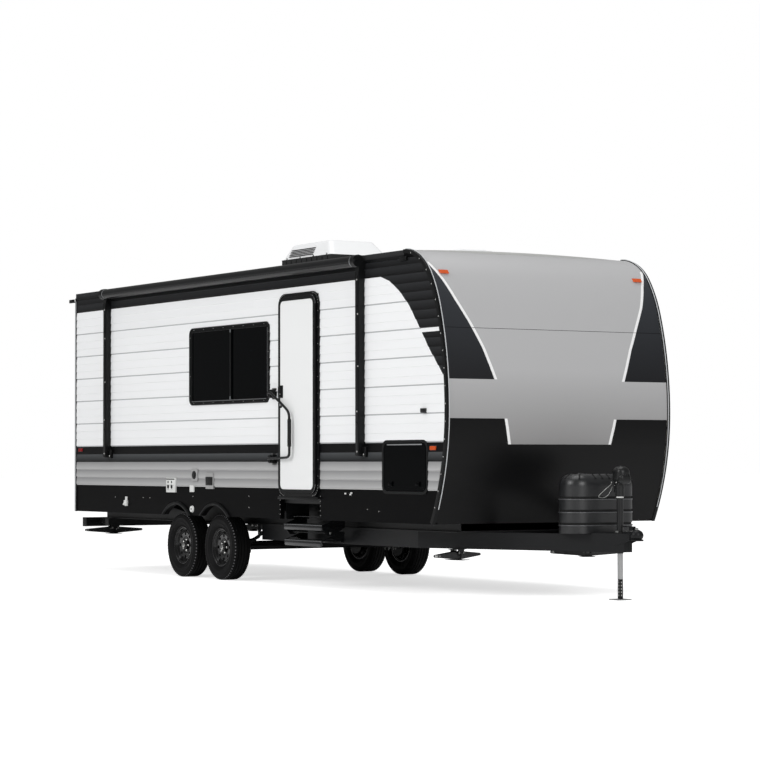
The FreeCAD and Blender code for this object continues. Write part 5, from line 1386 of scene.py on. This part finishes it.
# Tongue jack: a powered head in black plastic on a painted tube, and a plated leg with a punched drop foot.
# The drop foot is black with holes down its faces, pinned through, and stands on a plated foot plate.
jack_black = finish("jack_black", "0F1011", 0.38, mottle=0.12, grain=240.0, bump=0.15, sheen=0.45)
jack_white = finish("jack_white", "DADAD8", 0.5)
jack_plated = finish("jack_plated", "B9BABA", 0.28, metal=1.0, mottle=0.05, stretch=(1, 1, 0.2))
dress(jack_black, "tongue_jack")
dress(jack_plated, "tongue_jack_leg")


def collar(form, low_z, high_z, inner, outer):
    """A hollow ring round the jack's upright axis."""
    section = ((inner, 0, low_z), (outer, 0, low_z), (outer, 0, high_z), (inner, 0, high_z))
    turned(form, section, (0, 0, 0), (0, 0, 1), 32)


jack_shell = bmesh.new()
slab(jack_shell, (-0.056, -0.0640, 1.000), (0.090, 0.0640, 1.150), 0.052, 8)
slab(jack_shell, (0.020, -0.0600, 0.998), (0.096, 0.0600, 1.085), 0.028, 6)
hang("jack_head_shell", jack_shell, (jack_black,))
jack_parts = bmesh.new()
slab(jack_parts, (-0.050, -0.0655, 1.034), (0.0975, 0.0655, 1.040), 0.002)
for step in range(4):
    slab(jack_parts, (0.060, -0.034 + step * 0.019, 1.070), (0.098, -0.024 + step * 0.019, 1.083), 0.004)
post(jack_parts, (0.018, 0, 1.149), (0.018, 0, 1.155), 0.017, 24, 0.015)
collar(jack_parts, 0.8920, 0.9000, 0.0275, 0.0405)
collar(jack_parts, 0.9600, 0.9680, 0.0365, 0.0410)
slab(jack_parts, (-0.064, -0.020, 0.925), (-0.038, 0.020, 1.020), 0.006)
hang("jack_details", jack_parts, (jack_black,))
head_screws = bmesh.new()
for x, z, root, crest in ((-0.036, 1.012, -0.0635, -0.0675), (0.030, 1.012, -0.0635, -0.0675),
                          (-0.036, 0.985, -0.018, -0.030)):
    post(head_screws, (x, root, z), (x, crest, z), 0.0065, 12, 0.005)
hang("jack_head_screws", head_screws, (screw_zinc,))
loop = [(-0.060, -0.045, 1.000), (-0.066, -0.110, 0.950), (-0.070, -0.170, 0.905), (-0.070, -0.178, 0.890),
        (-0.070, -0.165, 0.882), (-0.068, -0.115, 0.880), (-0.064, -0.070, 0.905), (-0.058, -0.035, 0.975)]
bent_bar("jack_pull_wire", loop, 0.0030, (bolt_zinc,), smooth=True)
jack_ring = bmesh.new()
collar(jack_ring, 0.8800, 0.8925, 0.0275, 0.0320)
hang("jack_ring", jack_ring, (jack_white,))
drop = bmesh.new()
slab(drop, (-0.0172, -0.0172, 0.0090), (0.0172, 0.0172, 0.1795), 0.002)
hang("jack_drop_sleeve", drop, (frame_black,), body="tongue_jack_leg")
drop_hole_rows = 5
drop_hole_low = 0.040
drop_hole_pitch = 0.028
hole_pale = finish("hole_pale", "A9A9A7", 0.7)
drop_holes = bmesh.new()
for step in range(drop_hole_rows):
    z = drop_hole_low + step * drop_hole_pitch
    post(drop_holes, (-0.0176, 0, z), (0.0176, 0, z), 0.0068, 14)
    post(drop_holes, (0, -0.0176, z), (0, 0.0176, z), 0.0068, 14)
hang("jack_drop_holes", drop_holes, (hole_pale,), body="tongue_jack_leg")
drop_pin = bmesh.new()
post(drop_pin, (0, -0.0215, 0.166), (0, 0.0215, 0.166), 0.0052, 14)
hang("jack_drop_pin", drop_pin, (bolt_zinc,), body="tongue_jack_leg")

# Bottle cover: a rotomoulded dark plastic hood over two gas bottles, with three grooves round it.
# Raised beads painted lighter as highlights edge the grooves, dark bands in the grooves are painted shade, a
# flat disc sits on the dome and short slots follow the dome's edge.
cover_middle = Vector((-0.3505, 0, 1.085))
cover_grey = finish("cover_grey", "161719", 0.36, mottle=0.15, grain=330.0, bump=0.2, sheen=0.75)
dress(cover_grey, "bottle_cover")
cover_bead_highlight = finish("cover_bead_highlight", "4A4B4D", 0.3, sheen=0.9)
cover_low, cover_rise = 0.570, 0.515
cover_reach = (0.165, 0.350)
cover_bend = 0.150
dome_r = 0.105
hoop_steps = 48
groove_shares = (0.14, 0.36, 0.58)
slot_lean = math.radians(36)
slot_places = ((-0.20, -90), (-0.215, -38), (-0.105, 0), (-0.030, 0), (0.045, 0), (0.120, 0), (0.195, 0))


def hoop(out, first=0, last=hoop_steps):
    """Points of the cover's plan outline moved outward, once round from its front right corner."""
    flat_x, flat_y = cover_reach[0] - cover_bend, cover_reach[1] - cover_bend
    corners = ((flat_x, -flat_y, -90), (flat_x, flat_y, 0), (-flat_x, flat_y, 90), (-flat_x, -flat_y, 180))
    points = []
    for x, y, start in corners:
        for step in range(hoop_steps // 4):
            turn = math.radians(start + 90 * step / (hoop_steps // 4 - 1))
            points.append((cover_middle.x + x + (cover_bend + out) * math.cos(turn),
                           y + (cover_bend + out) * math.sin(turn)))
    return [points[i % hoop_steps] for i in range(first, last)]


def hoop_band(form, out, depth, low_z, high_z, first, last):
    """A strip that follows the cover's outline over part of its length."""
    pairs = zip(hoop(out, first, last), hoop(out - depth, first, last))
    skin(form, [[(*outer, low_z), (*outer, high_z), (*inner, high_z), (*inner, low_z)]
                for outer, inner in pairs])


# Dark bands in each groove are painted shade.
bands = bmesh.new()
for number, share in enumerate(groove_shares):
    z = cover_low + share * cover_rise
    ring = [(x, y, z - 0.003) for x, y in hoop(0.001)]
    bent_bar("cover_bead_%d" % number, ring, 0.0048, (cover_bead_highlight,), closed=True)
    hoop_band(bands, -0.0066, 0.003, z + 0.001, z + 0.021, 0, 49)
    hoop_band(bands, 0.0012, 0.006, z + 0.002, z + 0.030, 39, 46)
hang("cover_groove_bands", bands, (recess_shade,))
cap_disc = bmesh.new()
post(cap_disc, (cover_middle.x, -0.150, 1.083), (cover_middle.x, -0.150, 1.092), 0.048, 32, 0.044)
hang("cover_disc", cap_disc, (cover_grey,))
# The slots are dark strips painted as the shade inside them.
slots = bmesh.new()
for along, turn in slot_places:
    one = bmesh.new()
    slab(one, (-0.034, -0.008, -0.0015), (0.034, 0.008, 0.0015), 0.0012)
    bmesh.ops.translate(one, vec=(0, 0, dome_r), verts=one.verts)
    bmesh.ops.rotate(one, cent=(0, 0, 0), matrix=Matrix.Rotation(slot_lean, 3, "Y"), verts=one.verts)
    bmesh.ops.rotate(one, cent=(0, 0, 0), matrix=Matrix.Rotation(math.radians(turn), 3, "Z"), verts=one.verts)
    foot_x = 0.0 if turn == -90 else cover_reach[0] - dome_r
    foot_y = -cover_reach[1] + dome_r if turn < -50 else along
    bmesh.ops.translate(one, vec=(cover_middle.x + foot_x, foot_y, cover_middle.z - dome_r), verts=one.verts)
    piece = bpy.data.meshes.new("slot")
    one.to_mesh(piece)
    slots.from_mesh(piece)
    one.free()
    bpy.data.meshes.remove(piece)
hang("cover_slots", slots, (recess_shade,))

# Roof units: a cooling unit with a black base pan under a white formed shroud, and two lidded vents.
# The shroud has louvred intakes down both sides, and each vent's flange is bedded in a bead of sealant.
roof_z = 3.112
cooler_rear, cooler_front = at(3.1505), at(4.1505)
cooler_half = 0.340
cooler_seam = 3.282
cooler_lean = 0.5
louvre_rows, louvre_low, louvre_step = 5, 3.306, 0.0165
strip_crest = 0.010
shroud_screws, shroud_screw_z = 4, 3.291
grille_bars, pan_rib_count = 22, 9
vent_rears = (at(1.350), at(5.850))
vent_size = 0.400
unit_white = two_sided("unit_white", "E4E5E6", "0E0F10", "Z", cooler_seam, 0.42, grain=300.0, bump=0.15)
lid_white = finish("lid_white", "E4E5E6", 0.42, grain=300.0, bump=0.15)
sealant = finish("sealant", "C4C5C2", 0.7, mottle=0.1, bump=0.4, grain=90.0)
dress(unit_white, "roof_units")
# Dark marks in the louvre gaps, round the screws and along the shroud's seam are painted shade.
shroud_marks = bmesh.new()
shroud_hoods = bmesh.new()
for side, strip_root in ((-1, 0.0015), (1, -0.010)):
    for step in range(louvre_rows):
        z = louvre_low + step * louvre_step
        y = side * (cooler_half - (z - cooler_seam) * cooler_lean)
        slab(shroud_marks, (cooler_rear + 0.14, y + side * strip_root, z),
             (cooler_rear + 0.62, y + side * strip_crest, z + 0.0075))
        slab(shroud_hoods, (cooler_rear + 0.135, y - side * 0.010, z + 0.0075),
             (cooler_rear + 0.625, y + side * 0.0035, z + 0.0125), 0.001)
    for step in range(shroud_screws):
        spot = Vector((cooler_rear + 0.10 + step * 0.27, side * (cooler_half + 0.003), shroud_screw_z))
        post(shroud_marks, spot, spot - Vector((0, side * 0.012, 0)), 0.009, 14)
        post(shroud_hoods, spot + Vector((0, side * 0.001, 0)),
             spot - Vector((0, side * 0.010, 0)), 0.005, 10)
slab(shroud_marks, (cooler_rear - 0.002, -cooler_half - 0.002, cooler_seam - 0.004),
     (cooler_front + 0.002, cooler_half + 0.002, cooler_seam + 0.002))
for step in range(grille_bars):
    y = -0.26 + step * 0.0248
    slab(shroud_hoods, (cooler_rear - 0.004, y, roof_z + 0.025),
         (cooler_rear + 0.002, y + 0.003, cooler_seam - 0.025))
hang("cooler_marks", shroud_marks, (recess_shade,))
hang("cooler_louvres", shroud_hoods, (lid_white,))
pan_ribs = bmesh.new()
for side in (-1, 1):
    for step in range(pan_rib_count):
        x = cooler_rear + 0.08 + step * 0.105
        slab(pan_ribs, (x, side * (cooler_half + 0.001) - 0.003, roof_z + 0.012),
             (x + 0.012, side * (cooler_half + 0.001) + 0.003, cooler_seam - 0.012), 0.002)
hang("cooler_pan_ribs", pan_ribs, (awning_black,))
lids = bmesh.new()
beads = bmesh.new()
for rear in vent_rears:
    front = rear + vent_size
    half = vent_size / 2
    slab(lids, (rear - 0.002, -half - 0.002, roof_z + 0.020),
         (front + 0.002, half + 0.002, roof_z + 0.073), 0.018, 4)
    slab(lids, (rear + 0.045, -half + 0.045, roof_z + 0.066),
         (front - 0.045, half - 0.045, roof_z + 0.080), 0.008, 3)
    slab(lids, (rear - 0.012, -half - 0.012, roof_z + 0.0005),
         (front + 0.012, half + 0.012, roof_z + 0.022), 0.003)
    for y in (-0.11, 0.11):
        post(lids, (front + 0.008, y - 0.03, roof_z + 0.024),
             (front + 0.008, y + 0.03, roof_z + 0.024), 0.006, 14)
    slab(beads, (rear - 0.035, -half - 0.035, roof_z - 0.002),
         (front + 0.035, half + 0.035, roof_z + 0.006), 0.004, 2)
hang("vent_lids", lids, (lid_white,))
hang("vent_sealant", beads, (sealant,))

# Entry steps: two pressed treads on side bars in gloss black, folding in two stages under the floor.
# Each tread has rows of raised grip buttons, two strips of grit and a rolled nosing; the nosing and a thin
# bar below it are painted bright as highlights.
step_black = finish("step_black", "0B0C0E", 0.2, mottle=0.15, blotch=6.0, coat=0.25, sheen=0.4)
step_gloss = finish("step_gloss", "2A2B2D", 0.16, metal=0.7, mottle=0.3, blotch=7.0, coat=0.6,
                    stretch=(1, 1, 4))
grit_black = finish("grit_black", "0B0B0B", 0.9, bump=0.9, grain=900.0)
nosing_highlight = finish("nosing_highlight", "8E9092", 0.25, metal=1.0, mottle=0.3, blotch=9.0)
step_x = at(5.050)
tread_outer = -1.190
buttons_in_row = 21
step_pin_y = -1.100
dress(step_black, "step_bars_upper", "step_tread_upper", "step_bars_lower", "step_tread_lower")
for level, half, top, bar_half, pin_z in (("upper", 0.360, 0.5974, 0.374, 0.670),
                                          ("lower", 0.347, 0.4474, 0.367, 0.520)):
    body = "step_tread_" + level
    grit = bmesh.new()
    for y in (tread_outer + 0.045, tread_outer + 0.135):
        slab(grit, (step_x - half + 0.030, y, top - 0.001), (step_x + half - 0.030, y + 0.050, top + 0.0012))
    hang(body + "_grit", grit, (grit_black,), body=body)
    buttons = bmesh.new()
    for row in (tread_outer + 0.024, tread_outer + 0.115, tread_outer + 0.205):
        for step in range(buttons_in_row):
            x = step_x - half + 0.040 + step * (half * 2 - 0.080) / (buttons_in_row - 1)
            post(buttons, (x, row, top - 0.001), (x, row, top + 0.0022), 0.0075, 10, 0.0045)
    hang(body + "_buttons", buttons, (step_black,), body=body)
    fascia = bmesh.new()
    slab(fascia, (step_x - half + 0.002, tread_outer - 0.006, top - 0.056),
         (step_x + half - 0.002, tread_outer + 0.020, top - 0.006), 0.0125, 5)
    hang(body + "_fascia", fascia, (step_gloss,), body=body)
    # The nosing and the thin bar below it are painted bright as highlights along the tread's front edge.
    nosing = bmesh.new()
    post(nosing, (step_x - half, tread_outer + 0.003, top - 0.003),
         (step_x + half, tread_outer + 0.003, top - 0.003), 0.0042, 14)
    post(nosing, (step_x - half, tread_outer + 0.003, top - 0.024),
         (step_x + half, tread_outer + 0.003, top - 0.024), 0.0030, 12)
    hang(body + "_nosing", nosing, (nosing_highlight,), body=body)
    rivets = bmesh.new()
    for side in (-1, 1):
        end = step_x + side * bar_half
        post(rivets, (end - side * 0.001, step_pin_y, pin_z), (end + side * 0.0035, step_pin_y, pin_z),
             0.0105, 16, 0.007)
    hang("step_bars_" + level + "_rivets", rivets, (bolt_zinc,), body="step_bars_" + level)
well = bmesh.new()
for side in (-1, 1):
    for step in range(5):
        spot = Vector((step_x + side * 0.384, -wall_y - 0.0005, 0.690 + step * 0.045))
        post(well, spot, spot - Vector((0, 0.0028, 0)), 0.0042, 8, 0.0025)
hang("step_well_screws", well, (screw_zinc,))

# Scissor stabilisers: at each corner of the frame two upper and two lower channel arms that close flat.
# Plated pins hold the knees, a round nut block sits in each knee, and the feet are drilled plates.
stab_black = finish("stab_black", "101113", 0.38, mottle=0.2, grain=200.0, bump=0.15, sheen=0.5)
arm_run = 0.29409
arm_drop = 0.02315
pivot_half = 0.036
flange_lean = math.radians(4.5)
flange_outline = ((0.000, 0.011), (0.0, 0.030), (0.030, 0.0295), (0.185, 0.011))
stab_places = {"rear_right": ((at(0.300), -0.890, 0.461), -90.0),
               "rear_left": ((at(0.300), 0.890, 0.461), 90.0),
               "front_right": ((at(7.010), -0.7206, 0.379), -66.5226),
               "front_left": ((at(7.010), 0.7206, 0.379), 66.5226)}


def settled(name, form, place, finish_made, body="trailer"):
    """Moves a form made round the origin to its stabiliser's place and hangs it there."""
    bmesh.ops.transform(form, matrix=place, verts=form.verts)
    hang(name, form, (finish_made,), body=body)


for corner, (place, turn) in stab_places.items():
    prefix = "stabiliser_" + corner + "_"
    for part in ("upper_outer", "upper_inner", "lower_outer", "lower_inner", "foot"):
        dress(stab_black, prefix + part)
    settle = Matrix.Translation(place) @ Matrix.Rotation(math.radians(turn), 4, "Z")
    for part, way in (("upper_outer", 1), ("upper_inner", -1)):
        knee = way * (pivot_half + arm_run)
        pins = bmesh.new()
        for side in (-1, 1):
            post(pins, (knee, side * 0.0275, -arm_drop), (knee, side * 0.0300, -arm_drop), 0.0120, 16)
            post(pins, (knee, side * 0.0300, -arm_drop), (knee, side * 0.0350, -arm_drop), 0.0088, 6)
        settled(prefix + part + "_pins", pins, settle, bolt_zinc, prefix + part)
        nut = bmesh.new()
        post(nut, (knee, -0.0165, -arm_drop), (knee, 0.0165, -arm_drop), 0.0112, 20)
        settled(prefix + part + "_nut", nut, settle, bolt_zinc, prefix + part)
    for part, way in (("lower_outer", 1), ("lower_inner", -1)):
        flanges = bmesh.new()
        outline = [(way * (pivot_half + along * math.cos(flange_lean) - up * math.sin(flange_lean)),
                    -2 * arm_drop + along * math.sin(flange_lean) + up * math.cos(flange_lean))
                   for along, up in flange_outline]
        for y0, y1 in ((-0.0218, -0.0188), (0.0188, 0.0218)):
            skin(flanges, [[(x, y, z) for x, z in outline] for y in (y0, y1)])
        settled(prefix + part + "_flanges", flanges, settle, stab_black, prefix + part)
    stop = bmesh.new()
    slab(stop, (-0.0275, -0.018, -2 * arm_drop - 0.017), (0.0275, 0.018, -0.0110), 0.003)
    settled(prefix + "stop_block", stop, settle, stab_black, prefix + "foot")
    heads = bmesh.new()
    for way in (-1, 1):
        for side in (-1, 1):
            hip = way * pivot_half
            post(heads, (hip, side * 0.0415, 0), (hip, side * 0.0440, 0), 0.0115, 16)
            post(heads, (hip, side * 0.0440, 0), (hip, side * 0.0485, 0), 0.0085, 6)
            post(heads, (way * 0.070, side * 0.024, 0.0282), (way * 0.070, side * 0.024, 0.0215), 0.0080, 6)
    settled(prefix + "base_bolts", heads, settle, bolt_zinc)
    # The holes are dark discs painted as the shade inside them.
    holes = bmesh.new()
    foot_top = -2 * arm_drop - 0.016
    for x in (-0.042, 0.042):
        for y in (-0.072, 0.072):
            post(holes, (x, y, foot_top - 0.0056), (x, y, foot_top + 0.0005), 0.0075, 14)
    settled(prefix + "foot_holes", holes, settle, recess_shade, prefix + "foot")
